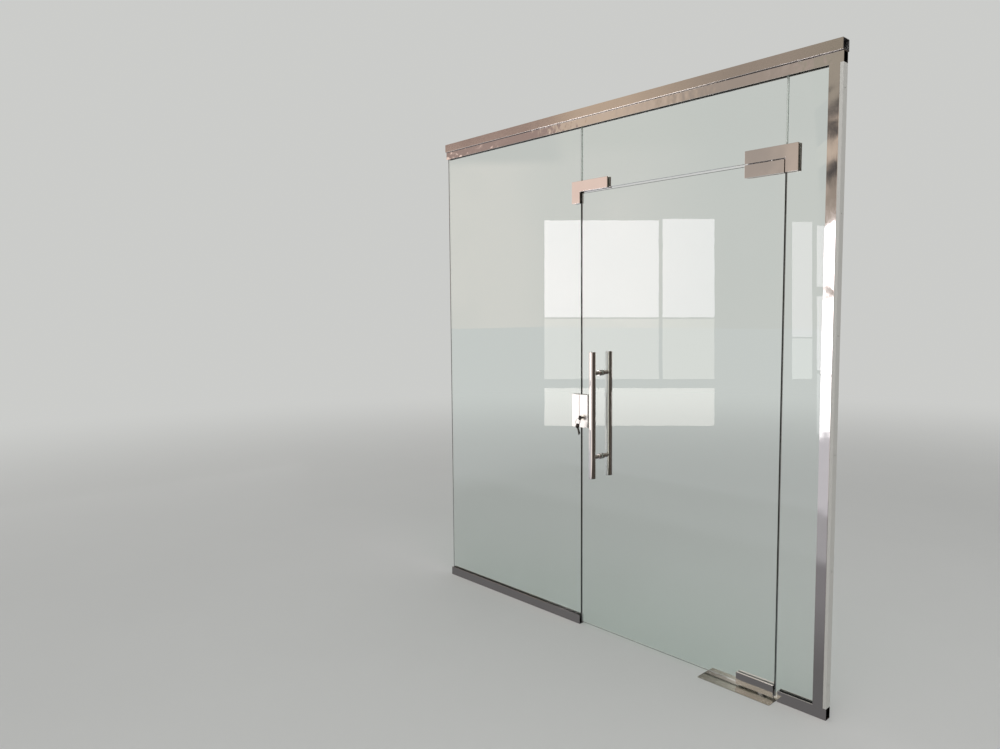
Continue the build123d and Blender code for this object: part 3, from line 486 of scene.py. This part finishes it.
MIRROR = MirrorSteel("polished_sheet")
MIRROR_UPRIGHT = MirrorSteel("polished_upright", Grain.UPRIGHT)
MIRROR_RIPPLED = MirrorSteel("polished_rippled", Grain.ALONG, ripple=0.0006, ripple_scale=34.0)
PLATE = SatinSteel("worn_plate", light=(0.70, 0.71, 0.64), dark=(0.52, 0.53, 0.47), rough=0.14)
SATIN = CoverSteel("satin_cover", light=(0.70, 0.655, 0.61), dark=(0.60, 0.56, 0.52), rough=0.015)
LOCK_FACE = SatinSteel("lock_face", Grain.UPRIGHT, light=(0.93, 0.93, 0.90),
                       dark=(0.88, 0.88, 0.85), rough=0.10)
PLAIN_STEEL = RawMetal("plain_steel", (0.50, 0.51, 0.52), (0.30, 0.31, 0.33))
CLAMP_METAL = RawMetal("clamp_metal", (0.62, 0.62, 0.63), (0.50, 0.50, 0.52), rough=0.42)
TURNED_STEEL = RawMetal("turned_steel", (0.62, 0.61, 0.60), (0.46, 0.46, 0.46), rough=0.22,
                        depth=0.00003)
CASTING = RawMetal("grey_casting", (0.30, 0.31, 0.33), (0.20, 0.21, 0.23), metallic=0.4,
                   rough=0.55, tooth=420.0, depth=0.0003)
NICKEL = RawMetal("nickel_plate", (0.66, 0.63, 0.57), (0.55, 0.52, 0.47), rough=0.18,
                  depth=0.00002)
KEY_METAL = RawMetal("dull_key", (0.20, 0.185, 0.17), (0.11, 0.10, 0.095), rough=0.34,
                     depth=0.00003)
NYLON = Moulded("white_nylon")
FIBRE = Moulded("dark_fibre", (0.24, 0.22, 0.20), (0.15, 0.14, 0.13), rough=0.75, speck=900.0,
                depth=0.0001)
PACKING = Moulded("pale_packing", (0.66, 0.65, 0.62), (0.55, 0.54, 0.52), rough=0.6)
RUBBER = Moulded("glazing_rubber", (0.045, 0.045, 0.045), (0.02, 0.02, 0.02), rough=0.5)
GLASS = ClearSheet("toughened_glass")
SEALANT = ClearSheet("milky_sealant", (0.80, 0.83, 0.80), (0.80, 0.85, 0.82), density=20.0,
                     ior=1.42, haze=0.35, clear=0.3)


def grid_surface(name: str, points: np.ndarray, closed: bool) -> bpy.types.Object:
    """A mesh from a grid of points, with one quad between each four neighbours.

    Corner (i, j) joins (i + 1, j), (i + 1, j + 1) and (i, j + 1). On a closed surface the index
    j after the last one is 0.

    Args:
        name: The piece's name.
        points: An array of u by v by 3, in metres.
        closed: Whether the last column joins the first.

    Returns:
        The new object, at the origin, shaded smooth.
    """
    rows, columns = points.shape[:2]
    u = np.arange(rows - 1)
    v = np.arange(columns if closed else columns - 1)
    u, v = (part.ravel() for part in np.meshgrid(u, v, indexing="ij"))
    after = (v + 1) % columns
    quads = np.stack([u * columns + v, (u + 1) * columns + v,
                      (u + 1) * columns + after, u * columns + after], axis=1)
    mesh = bpy.data.meshes.new(name)
    mesh.from_pydata(points.reshape(-1, 3).tolist(), [], quads.tolist())
    mesh.shade_smooth()
    piece = bpy.data.objects.new(name, mesh)
    bpy.context.scene.collection.objects.link(piece)
    return piece


def carry_profile(path: np.ndarray, side: np.ndarray, up: np.ndarray, profile: np.ndarray,
                  size: np.ndarray) -> np.ndarray:
    """A closed profile carried along a path, as a grid of points.

    Point (i, j) is path[i] + size[i] * (profile[j, 0] * side[i] + profile[j, 1] * up[i]).

    Args:
        path: The places along the path, n by 3.
        side: The profile's first direction at each place, n by 3.
        up: The profile's second direction at each place, n by 3.
        profile: The profile's corners, m by 2.
        size: A factor at each place, which closes an end where it is 0.

    Returns:
        An array of n by m by 3.
    """
    across = (profile[None, :, 0, None] * side[:, None, :]
              + profile[None, :, 1, None] * up[:, None, :])
    return path[:, None, :] + size[:, None, None] * across


def closed_ends(count: int) -> np.ndarray:
    """Factors that bring both ends of a path to a point.

    Args:
        count: The number of places along the path.

    Returns:
        Ones with a 0 at both ends.
    """
    size = np.ones(count)
    size[[0, -1]] = 0.0
    return size


def nodes_named(nodes: Mapping[str, bpy.types.Object], *names: str) -> list[bpy.types.Object]:
    """The CAD nodes with these names, in the same order."""
    return [nodes[name] for name in names]


@dataclass
class Surround:
    """Header, sills and wall channel round the fixed panes, and what lies hidden in them."""

    rippled: Sequence[str] = ("header_channel",)
    polished: Sequence[str] = ("left_sill_channel", "right_sill_channel")
    upright: Sequence[str] = ("wall_channel",)
    satin: Sequence[str] = ("header_cover_left", "header_cover_right")

    def dress(self, nodes: Mapping[str, bpy.types.Object]) -> None:
        """Give every piece of the surround its finish.

        Args:
            nodes: The CAD nodes by name.
        """
        MIRROR_RIPPLED.dress(nodes_named(nodes, *self.rippled))
        MIRROR.dress(nodes_named(nodes, *self.polished))
        MIRROR_UPRIGHT.dress(nodes_named(nodes, *self.upright))
        SATIN.dress(nodes_named(nodes, *self.satin))
        PLAIN_STEEL.dress(nodes_named(nodes, "header_beam"))
        TURNED_STEEL.dress(nodes_named(nodes, "header_screws"))
        PACKING.dress(nodes_named(nodes, "wall_packing", "setting_blocks"))
        RUBBER.dress(nodes_named(nodes, "glazing_gaskets"))


@dataclass
class Panes:
    """The four panes of glass and the clear joints between the fixed ones."""

    panes: Sequence[str] = ("door_leaf", "left_sidelight", "right_sidelight", "overpanel")
    joint_inset: float = 0.0006
    joint_hollow: float = 0.0012
    joint_bond: float = 0.0003
    joint_steps: int = 24
    profile_steps: int = 12

    def dress(self, nodes: Mapping[str, bpy.types.Object]) -> None:
        """Give the panes their glass."""
        GLASS.dress(nodes_named(nodes, *self.panes))

    def bead(self, name: str, left: float, right: float, low: float,
             high: float) -> bpy.types.Object:
        """A bead of sealant that grips two upright glass edges.

        The profile runs through x = middle + half * c and y = depth - hollow * (1 - c^2) in front
        and behind, where c runs from -1 to 1, so that each face sags between the glass edges. Half
        is half the joint and the thin skin in which the sealant wets the glass.

        Args:
            name: The bead's name.
            left: The right edge of the pane on the left.
            right: The left edge of the pane on the right.
            low: The lower end.
            high: The upper end.

        Returns:
            The bead.
        """
        half = (right - left) / 2 + self.joint_bond
        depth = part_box("overpanel")[1].y - self.joint_inset
        c = np.linspace(-1.0, 1.0, self.profile_steps)
        face = depth - self.joint_hollow * (1 - c ** 2)
        profile = np.concatenate([np.stack([half * c, -face], 1),
                                  np.stack([half * c[::-1], face], 1)])
        z = np.concatenate([[low], np.linspace(low, high, self.joint_steps), [high]])
        path = np.stack([np.full_like(z, (left + right) / 2), np.zeros_like(z), z], 1)
        side = np.broadcast_to([1.0, 0.0, 0.0], path.shape)
        back = np.broadcast_to([0.0, 1.0, 0.0], path.shape)
        points = carry_profile(path, side, back, profile, closed_ends(len(z)))
        return grid_surface(name, points[::-1], closed=True)

    def build(self) -> None:
        """Make the two clear joints over the patches, up into the header."""
        over_low, over_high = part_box("overpanel")
        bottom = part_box("pivot_patch_front_cover")[1].z
        left_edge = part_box("left_sidelight")[1].x
        right_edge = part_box("right_sidelight")[0].x
        beads = [self.bead("left_joint_sealant", left_edge, over_low.x, bottom, over_high.z),
                 self.bead("right_joint_sealant", over_high.x, right_edge, bottom, over_high.z)]
        SEALANT.dress(beads)
        for bead in beads:
            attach(bead, "frame")


@dataclass
class Patches:
    """The four clamp patches, the top pivot and the clamp screws."""

    patches: Sequence[str] = ("pivot_patch", "corner_patch", "top_patch", "bottom_patch")

    def dress(self, nodes: Mapping[str, bpy.types.Object]) -> None:
        """Give covers, plates, pads and pivots their finishes.

        Args:
            nodes: The CAD nodes by name.
        """
        for patch in self.patches:
            MIRROR.dress(nodes_named(nodes, f"{patch}_front_cover", f"{patch}_back_cover"))
            CLAMP_METAL.dress(nodes_named(nodes, f"{patch}_front_plate", f"{patch}_back_plate"))
        FIBRE.dress(nodes_named(nodes, "frame_patch_pads", "leaf_patch_pads"))
        TURNED_STEEL.dress(nodes_named(
            nodes, "frame_clamp_screws", "leaf_clamp_screws", "top_pivot_pin"))
        NYLON.dress(nodes_named(nodes, "top_pivot_bush"))
        PLAIN_STEEL.dress(nodes_named(nodes, "spindle_insert"))


@dataclass
class FloorSpring:
    """The closer in its box under the floor, with the spindle and the cover plate."""

    turned: Sequence[str] = ("spindle", "cover_plate_screws")

    def dress(self, nodes: Mapping[str, bpy.types.Object]) -> None:
        """Give the closer's pieces their finishes.

        Args:
            nodes: The CAD nodes by name.
        """
        PLAIN_STEEL.dress(nodes_named(nodes, "cement_box"))
        CASTING.dress(nodes_named(nodes, "closer_body"))
        TURNED_STEEL.dress(nodes_named(nodes, *self.turned))
        PLATE.dress(nodes_named(nodes, "cover_plate"))


@dataclass
class PullHandle:
    """The pair of tubes with their posts, studs and bushes."""

    polished: Sequence[str] = (
        "handle_front_bar", "handle_back_bar", "handle_end_caps", "handle_posts")

    def dress(self, nodes: Mapping[str, bpy.types.Object]) -> None:
        """Give the handle's pieces their finishes.

        Args:
            nodes: The CAD nodes by name.
        """
        MIRROR_UPRIGHT.dress(nodes_named(nodes, *self.polished))
        TURNED_STEEL.dress(nodes_named(nodes, "handle_studs"))
        NYLON.dress(nodes_named(nodes, "handle_bushes"))


@dataclass
class PatchLock:
    """The lock case and strike box, the cylinder, and the keys on their split ring."""

    cases: Sequence[str] = ("lock_front", "lock_back", "strike_front", "strike_back")
    ring_tilt: float = radians(25.0)
    ring_turns: float = 2.0
    ring_ends: float = 0.04
    ring_jog: float = 0.14
    wire_width: float = 0.00078
    wire_height: float = 0.0015
    wire_squareness: float = 0.6
    ring_steps: int = 150
    wire_steps: int = 12

    def dress(self, nodes: Mapping[str, bpy.types.Object]) -> None:
        """Give the lock's pieces their finishes.

        Args:
            nodes: The CAD nodes by name.
        """
        LOCK_FACE.dress(nodes_named(nodes, *self.cases))
        TURNED_STEEL.dress(nodes_named(nodes, "bolt"))
        NICKEL.dress(nodes_named(nodes, "cylinder_sleeve", "cylinder_plug"))
        KEY_METAL.dress(nodes_named(nodes, "key", "spare_keys"))

    def wire_profile(self) -> np.ndarray:
        """The section of the ring's flat wire.

        At angle a its corner is half the width times |cos a|^s and half the height times |sin a|^s,
        each with the sign of its cosine or sine, where s is the squareness.

        Returns:
            The corners, n by 2.
        """
        a = np.linspace(0.0, 2 * pi, self.wire_steps, endpoint=False)
        across = np.sign(np.cos(a)) * np.abs(np.cos(a)) ** self.wire_squareness
        upward = np.sign(np.sin(a)) * np.abs(np.sin(a)) ** self.wire_squareness
        return np.stack([self.wire_width / 2 * across, self.wire_height / 2 * upward], 1)

    def build(self) -> None:
        """Make the split ring, a flat wire wound twice in the plane that the CAD ring lies in.

        After a number of turns the wire's middle is at middle + radius * outward + step * axis,
        where outward goes round the plane. Step is half a wire to one side for the first turn,
        crosses over in a smooth jog about turn 1, and is half a wire to the other side after it.
        """
        low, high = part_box("key_ring")
        middle = (low + high) / 2
        radius = (high.x - low.x) / 2 - self.wire_height / 2
        fall = Vector((0.0, -sin(self.ring_tilt), -cos(self.ring_tilt)))
        axis = Vector((1.0, 0.0, 0.0)).cross(fall)
        turn = np.linspace(self.ring_ends, self.ring_turns - self.ring_ends, self.ring_steps)
        turn = np.concatenate([turn[:1], turn, turn[-1:]])
        outward = (np.outer(np.cos(2 * pi * turn), (1.0, 0.0, 0.0))
                   + np.outer(np.sin(2 * pi * turn), fall))
        part = np.clip((turn - self.ring_turns / 2) / self.ring_jog + 0.5, 0.0, 1.0)
        step = self.wire_width * (part ** 2 * (3.0 - 2.0 * part) - 0.5)
        path = np.array(middle) + radius * outward + np.outer(step, axis)
        side = np.broadcast_to(np.array(axis), path.shape)
        points = carry_profile(path, side, outward, self.wire_profile(), closed_ends(len(turn)))
        ring = grid_surface("split_ring", points[::-1], closed=True)
        KEY_METAL.dress([ring])
        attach(ring, "key")
        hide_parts("key_ring")


@dataclass(frozen=True)
class Pane:
    """A soft rectangular lamp, placed by where its reflection in the glass is seen.

    The four edges are slopes from the camera's axis: to the right, and up.
    """

    left: float
    right: float
    low: float
    high: float
    glow: float
    colour: Colour = (1.0, 0.955, 1.0)


@dataclass(frozen=True)
class Card:
    """A large soft light round the door."""

    middle: Triple
    facing: Triple
    width: float
    height: float
    glow: float
    colour: Colour = (1.0, 0.92, 0.88)

    def axes(self) -> tuple[Vector, Vector]:
        """The level direction of the card's width, and the one that it faces."""
        facing = Vector(self.facing).normalized()
        return Vector((0.0, 0.0, 1.0)).cross(facing).normalized(), facing


@dataclass(frozen=True)
class MirroredFloor:
    """The tones of the floor in reflections, by the place that is mirrored.

    A span is metres from the wall channel's foot: west goes along the sills, and south comes
    towards the camera.
    """

    behind: Colour = (0.080, 0.066, 0.058)
    foot: Colour = (0.15, 0.15, 0.155)
    front: Colour = (0.25, 0.245, 0.26)
    middle: Colour = (0.43, 0.43, 0.455)
    beyond: Colour = (0.66, 0.66, 0.71)
    door_south: Span = (-1.6, -0.6)
    door_west: Span = (-1.0, -0.3)
    front_south: Span = (0.2, 1.3)
    middle_south: Span = (1.7, 1.9)
    middle_west: Span = (0.7, 0.8)
    beyond_west: Span = (3.6, 4.6)
    corner_south: Span = (2.85, 3.0)
    corner_west: Span = (1.15, 1.25)

    def tone(self, bench: Bench, west: Wire, south: Wire) -> Wire:
        """Blend the floor's tones from the door outwards.

        Args:
            bench: The floor's node tree.
            west: The distance west.
            south: The distance south.

        Returns:
            The colour.
        """
        here = south.rise(*self.door_south) * west.rise(*self.door_west)
        foot = bench.blend(south.rise(*self.front_south), self.foot, self.front)
        dim = bench.blend(here, self.behind, foot)
        wide = south.rise(*self.middle_south) * west.rise(*self.middle_west)
        near = bench.blend(wide, dim, self.middle)
        corner = south.rise(*self.corner_south) * west.rise(*self.corner_west)
        far = 1.0 - (1.0 - west.rise(*self.beyond_west)) * (1.0 - corner)
        return bench.blend(far, near, self.beyond)


@dataclass(frozen=True)
class MirroredTones:
    """The tones that polished metal mirrors, by the direction that is mirrored.

    Each is named for the piece that shows it to the camera. A span is a part of a direction of
    length 1, of which west is against X and up is Z. Two dark bars cross what the wall channel
    shows: a bar's middle is a value of up less bar_slope times X, and its edge is the square of
    the distance from that.
    """

    pivot_patch_right: Colour = (0.62, 0.53, 0.46)
    pivot_patch_left: Colour = (0.45, 0.40, 0.36)
    corner_patch: Colour = (1.32, 1.03, 0.91)
    header_right: Colour = (0.43, 0.37, 0.325)
    header_left: Colour = (0.78, 0.62, 0.46)
    header_end: Colour = (0.42, 0.32, 0.29)
    veil: Colour = (0.62, 0.53, 0.48)
    channel_bar: Colour = (0.085, 0.080, 0.080)
    channel_low: Colour = (0.37, 0.32, 0.27)
    channel_middle: Colour = (0.74, 0.62, 0.51)
    channel_high: Colour = (0.42, 0.38, 0.32)
    rear: Colour = (0.080, 0.066, 0.058)
    above: Colour = (0.42, 0.40, 0.38)
    pivot_patch_west: Span = (0.435, 0.465)
    left_west: Span = (0.50, 0.62)
    header_up: Span = (0.19, 0.22)
    header_end_west: Span = (0.655, 0.675)
    header_end_up: Span = (0.185, 0.20)
    veil_scale: float = 6.0
    veil_detail: float = 2.0
    veil_cloud: Span = (0.40, 0.62)
    veil_share: float = 0.5
    channel_x: Span = (-0.415, -0.41)
    bar_slope: float = 0.8
    upper_bar: float = 0.5430
    lower_bar: float = 0.4850
    upper_edge: Span = (0.00040, 0.00044)
    lower_edge: Span = (0.00018, 0.00020)
    channel_middle_up: Span = (0.15, 0.17)
    channel_high_up: Span = (0.215, 0.235)
    rear_turn: Span = (-0.03, 0.05)
    above_up: Span = (0.40, 0.70)

    def front(self, bench: Bench, aim: Wire, west: Wire, up: Wire) -> Wire:
        """Blend what the patches and the header show, with a cloudy veil over it.

        Args:
            bench: The world's node tree.
            aim: The direction.
            west: How far it points west.
            up: How far it points up.

        Returns:
            The colour.
        """
        cloud = bench.node("ShaderNodeTexNoise", {}, {
            "Vector": aim, "Scale": self.veil_scale, "Detail": self.veil_detail})
        pivot_patch = bench.blend(west.rise(*self.pivot_patch_west), self.pivot_patch_right,
                                  self.pivot_patch_left)
        patches = bench.blend(west.rise(*self.left_west), pivot_patch, self.corner_patch)
        header = bench.blend(west.rise(*self.left_west), self.header_right, self.header_left)
        warm = bench.blend(up.rise(*self.header_up), patches, header)
        veiled = bench.blend(self.veil_share * cloud.rise(*self.veil_cloud), warm, self.veil)
        end = west.rise(*self.header_end_west) * up.rise(*self.header_end_up)
        return bench.blend(end, veiled, self.header_end)

    def channel(self, bench: Bench, front: Wire, x: Wire, up: Wire) -> Wire:
        """Lay what the wall channel shows over the rest of the front.

        Args:
            bench: The world's node tree.
            front: The colour of the rest.
            x: How far the direction points along X.
            up: How far it points up.

        Returns:
            The colour.
        """
        slant = up - self.bar_slope * x
        upper, lower = slant - self.upper_bar, slant - self.lower_bar
        bars = 1.0 - ((upper * upper).rise(*self.upper_edge)
                      * (lower * lower).rise(*self.lower_edge))
        barred = bench.blend(x.rise(*self.channel_x) * bars, front, self.channel_bar)
        below = bench.blend(up.rise(*self.channel_middle_up), self.channel_low,
                            self.channel_middle)
        between = bench.blend(up.rise(*self.channel_high_up), below, self.channel_high)
        return bench.blend(x.rise(*self.channel_x) * (1.0 - bars), barred, between)

    def tone(self, bench: Bench, aim: Wire) -> Wire:
        """Blend all the tones by direction.

        Args:
            bench: The world's node tree.
            aim: The direction.

        Returns:
            The colour.
        """
        x, y, up = (bench.part(aim, axis) for axis in "XYZ")
        front = self.channel(bench, self.front(bench, aim, x * -1.0, up), x, up)
        sides = bench.blend((x + y).rise(*self.rear_turn), front, self.rear)
        return bench.blend(up.rise(*self.above_up), sides, self.above)


@dataclass
class Studio:
    """The camera, the floor, the lamps and the light from all round."""

    place: Triple = (1.1834, -2.759, 1.5447)
    yaw: float = radians(47.449)
    pitch: float = radians(-4.618)
    roll: float = radians(-0.477)
    lens: float = 27.06
    film_width: float = 36.0
    sight: float = 200.0
    floor_reach: float = 60.0
    floor_points: int = 5
    floor_drop: float = 0.0003
    floor_fade: Span = (3.0, 12.0)
    floor_dark: Colour = (0.62, 0.625, 0.625)
    floor_light: Colour = (0.66, 0.665, 0.665)
    floor_rough: float = 0.7
    floor_shine: float = 0.2
    mirrored_floor: MirroredFloor = MirroredFloor()
    mirrored_tones: MirroredTones = MirroredTones()
    pane_distance: float = 9.5
    background: Colour = (0.60, 0.605, 0.59)
    panes: Sequence[Pane] = field(default_factory=lambda: (
        Pane(0.060, 0.212, 0.076, 0.205, 5.8),
        Pane(0.060, 0.212, -0.006, 0.074, 2.6, (1.0, 0.95, 0.88)),
        Pane(0.217, 0.286, 0.076, 0.207, 5.6),
        Pane(0.217, 0.286, -0.006, 0.074, 2.6, (1.0, 0.96, 0.86)),
        Pane(0.060, 0.286, -0.068, -0.018, 4.2, (1.0, 0.94, 0.86)),
        Pane(0.389, 0.416, 0.050, 0.203, 3.8),
        Pane(0.389, 0.416, -0.006, 0.048, 3.0, (0.97, 1.0, 0.95)),
        Pane(0.422, 0.480, 0.117, 0.198, 4.5),
        Pane(0.422, 0.480, 0.006, 0.104, 4.5),
        Pane(0.422, 0.480, -0.088, 0.001, 2.2, (0.96, 0.97, 1.0)),
    ))
    cards: Sequence[Card] = field(default_factory=lambda: (
        Card((0.0, -3.5, 1.30), (0.0, 1.0, 0.0), 2.9, 2.6, 1.0),
        Card((-6.0, -0.95, 1.30), (1.0, 0.0, 0.0), 3.9, 2.6, 1.1),
        Card((-1.2, 3.9, 1.90), (0.0, -1.0, 0.0), 3.0, 2.0, 0.8),
    ))
    overhead: Card = Card((0.6, -1.6, 4.6), (-0.30, 0.28, -0.91), 2.6, 2.6, 2.2,
                          (1.0, 0.98, 0.96))

    def axes(self) -> tuple[Vector, Vector, Vector]:
        """The camera's own directions.

        Returns:
            Right, up and forward, each of length 1.
        """
        forward = Vector((-sin(self.yaw) * cos(self.pitch), cos(self.yaw) * cos(self.pitch),
                          sin(self.pitch)))
        level = Vector((cos(self.yaw), sin(self.yaw), 0.0))
        upright = level.cross(forward)
        right = level * cos(self.roll) + upright * sin(self.roll)
        up = upright * cos(self.roll) - level * sin(self.roll)
        return right, up, forward

    def camera(self) -> None:
        """Place the camera at the photograph's viewpoint."""
        right, up, forward = self.axes()
        data = bpy.data.cameras.new("viewpoint")
        data.lens = self.lens
        data.sensor_width = self.film_width
        data.clip_end = self.sight
        view = bpy.data.objects.new("viewpoint", data)
        turned = Matrix((right, up, -forward)).transposed().to_4x4()
        view.matrix_world = Matrix.Translation(self.place) @ turned
        bpy.context.scene.collection.objects.link(view)
        bpy.context.scene.camera = view

    def floor(self) -> None:
        """Lay a wide pale floor under the door, which fades into the background far away.

        It is a level grid a hair below the door, at z = -drop. Mirrored in metal or glass it has
        the tones of the mirrored floor.
        """
        line = np.linspace(-self.floor_reach, self.floor_reach, self.floor_points)
        x, y = np.meshgrid(line, line, indexing="ij")
        points = np.stack([x, y, np.full_like(x, -self.floor_drop)], -1)
        ground = grid_surface("studio_floor", points, closed=False)
        made, bench = new_material("studio_floor")
        cloud = bench.noise(scale=0.8, detail=4.0, roughness=0.6)
        pale = bench.node("ShaderNodeBsdfPrincipled", {}, {
            "Base Color": bench.blend(cloud, self.floor_dark, self.floor_light),
            "Roughness": self.floor_rough, "Specular IOR Level": self.floor_shine})
        place = bench.place((-1.0, -1.0, 1.0))
        west, south = bench.part(place, "X"), bench.part(place, "Y")
        mirrored = bench.glow(self.mirrored_floor.tone(bench, west, south))
        distance = bench.node("ShaderNodeVectorMath", {"operation": "LENGTH"}, {0: place}, "Value")
        straight = bench.either(distance.rise(*self.floor_fade), pale, bench.glow(self.background))
        both = bench.either(bench.mirrored(), straight, mirrored)
        bench.node("ShaderNodeOutputMaterial", {}, {"Surface": both})
        ground.data.materials.append(made)

    def surroundings(self) -> None:
        """Spread pale light from all round, with warmer tones where metal mirrors it."""
        world = bpy.data.worlds.new("studio")
        world.use_nodes = True
        world.cycles.sampling_method = "NONE"
        bpy.context.scene.world = world
        bench = Bench(world.node_tree)
        aim = bench.node("ShaderNodeTexCoord", outlet="Generated")
        tones = self.mirrored_tones.tone(bench, aim)
        seen = bench.blend(bench.mirrored(), self.background, tones)
        light = bench.node("ShaderNodeBackground", {}, {"Color": seen, "Strength": 1.0})
        bench.node("ShaderNodeOutputWorld", {}, {"Surface": light})

    def hang(self, name: str, middle: Vector, side: Vector, facing: Vector, size: Span,
             glow: float, colour: Colour) -> bpy.types.Object:
        """Hang a rectangular lamp that is seen only in reflections.

        Its power is its face's glow times pi times its area.

        Args:
            name: The lamp's name.
            middle: Its middle.
            side: The direction of its width.
            facing: The direction it shines in.
            size: Its width and height.
            glow: How bright its face is.
            colour: Its colour.

        Returns:
            The lamp.
        """
        data = bpy.data.lights.new(name, "AREA")
        data.shape = "RECTANGLE"
        data.size, data.size_y = size
        data.energy = glow * pi * size[0] * size[1]
        data.color = colour
        lamp = bpy.data.objects.new(name, data)
        back = -facing
        turned = Matrix((side, back.cross(side), back)).transposed().to_4x4()
        lamp.matrix_world = Matrix.Translation(middle) @ turned
        lamp.visible_camera = False
        lamp.visible_transmission = False
        lamp.visible_diffuse = False
        bpy.context.scene.collection.objects.link(lamp)
        return lamp

    def hang_pane(self, number: int, pane: Pane) -> None:
        """Hang a soft lamp where the glass mirrors it to its place in the picture.

        Its middle is eye + distance * aim, where eye and aim are the camera's place and the
        direction of the reflection, both mirrored in the plane y = 0.

        Args:
            number: The lamp's number, for its name.
            pane: Its edges in the picture and its glow.
        """
        right, up, forward = (Vector((part.x, -part.y, part.z)) for part in self.axes())
        eye = Vector((self.place[0], -self.place[1], self.place[2]))
        aim = forward + right * (pane.left + pane.right) / 2 + up * (pane.low + pane.high) / 2
        size = ((pane.right - pane.left) * self.pane_distance,
                (pane.high - pane.low) * self.pane_distance)
        self.hang(f"window_lamp_{number}", eye + aim * self.pane_distance, right, -forward, size,
                  pane.glow, pane.colour)

    def stand_card(self, number: int, card: Card) -> None:
        """Stand a glowing card that is seen only in reflections, through glass too.

        Its corners are middle + u * width / 2 * side + v * height / 2 * up, for u and v of -1
        and 1.

        Args:
            number: The card's number, for its name.
            card: Its place, size and glow.
        """
        side, facing = card.axes()
        u, v = np.meshgrid((-1.0, 1.0), (-1.0, 1.0), indexing="ij")
        points = (np.array(card.middle) + u[..., None] * card.width / 2 * np.array(side)
                  + v[..., None] * card.height / 2 * np.array(facing.cross(side)))
        sheet = grid_surface(f"glowing_card_{number}", points, closed=False)
        made, bench = new_material(f"glowing_card_{number}")
        made.cycles.emission_sampling = "NONE"
        clear = bench.node("ShaderNodeBsdfTransparent")
        both = bench.either(bench.mirrored(), clear, bench.glow(card.colour, card.glow))
        bench.node("ShaderNodeOutputMaterial", {}, {"Surface": both})
        sheet.data.materials.append(made)

    def hang_overhead(self) -> None:
        """Hang the one lamp that lights the floor as well."""
        card = self.overhead
        side, facing = card.axes()
        lamp = self.hang("overhead_lamp", Vector(card.middle), side, facing,
                         (card.width, card.height), card.glow, card.colour)
        lamp.visible_diffuse = True

    def build(self) -> None:
        """Set up the whole studio."""
        self.camera()
        self.floor()
        self.surroundings()
        for number, pane in enumerate(self.panes, 1):
            self.hang_pane(number, pane)
        for number, card in enumerate(self.cards, 1):
            self.stand_card(number, card)
        self.hang_overhead()
        bpy.context.scene.view_settings.view_transform = "Standard"


def main() -> None:
    """Load the model, dress it, add the pieces that only the eye needs, and light it."""
    logging.basicConfig(level=logging.INFO, format="%(name)s %(message)s")
    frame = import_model()
    nodes = frame["nodes"]
    surround, panes, patches = Surround(), Panes(), Patches()
    spring, handle, lock = FloorSpring(), PullHandle(), PatchLock()
    for assembly in (surround, panes, patches, spring, handle, lock):
        assembly.dress(nodes)
    panes.build()
    lock.build()
    Studio().build()


if __name__ == "__main__":
    main()
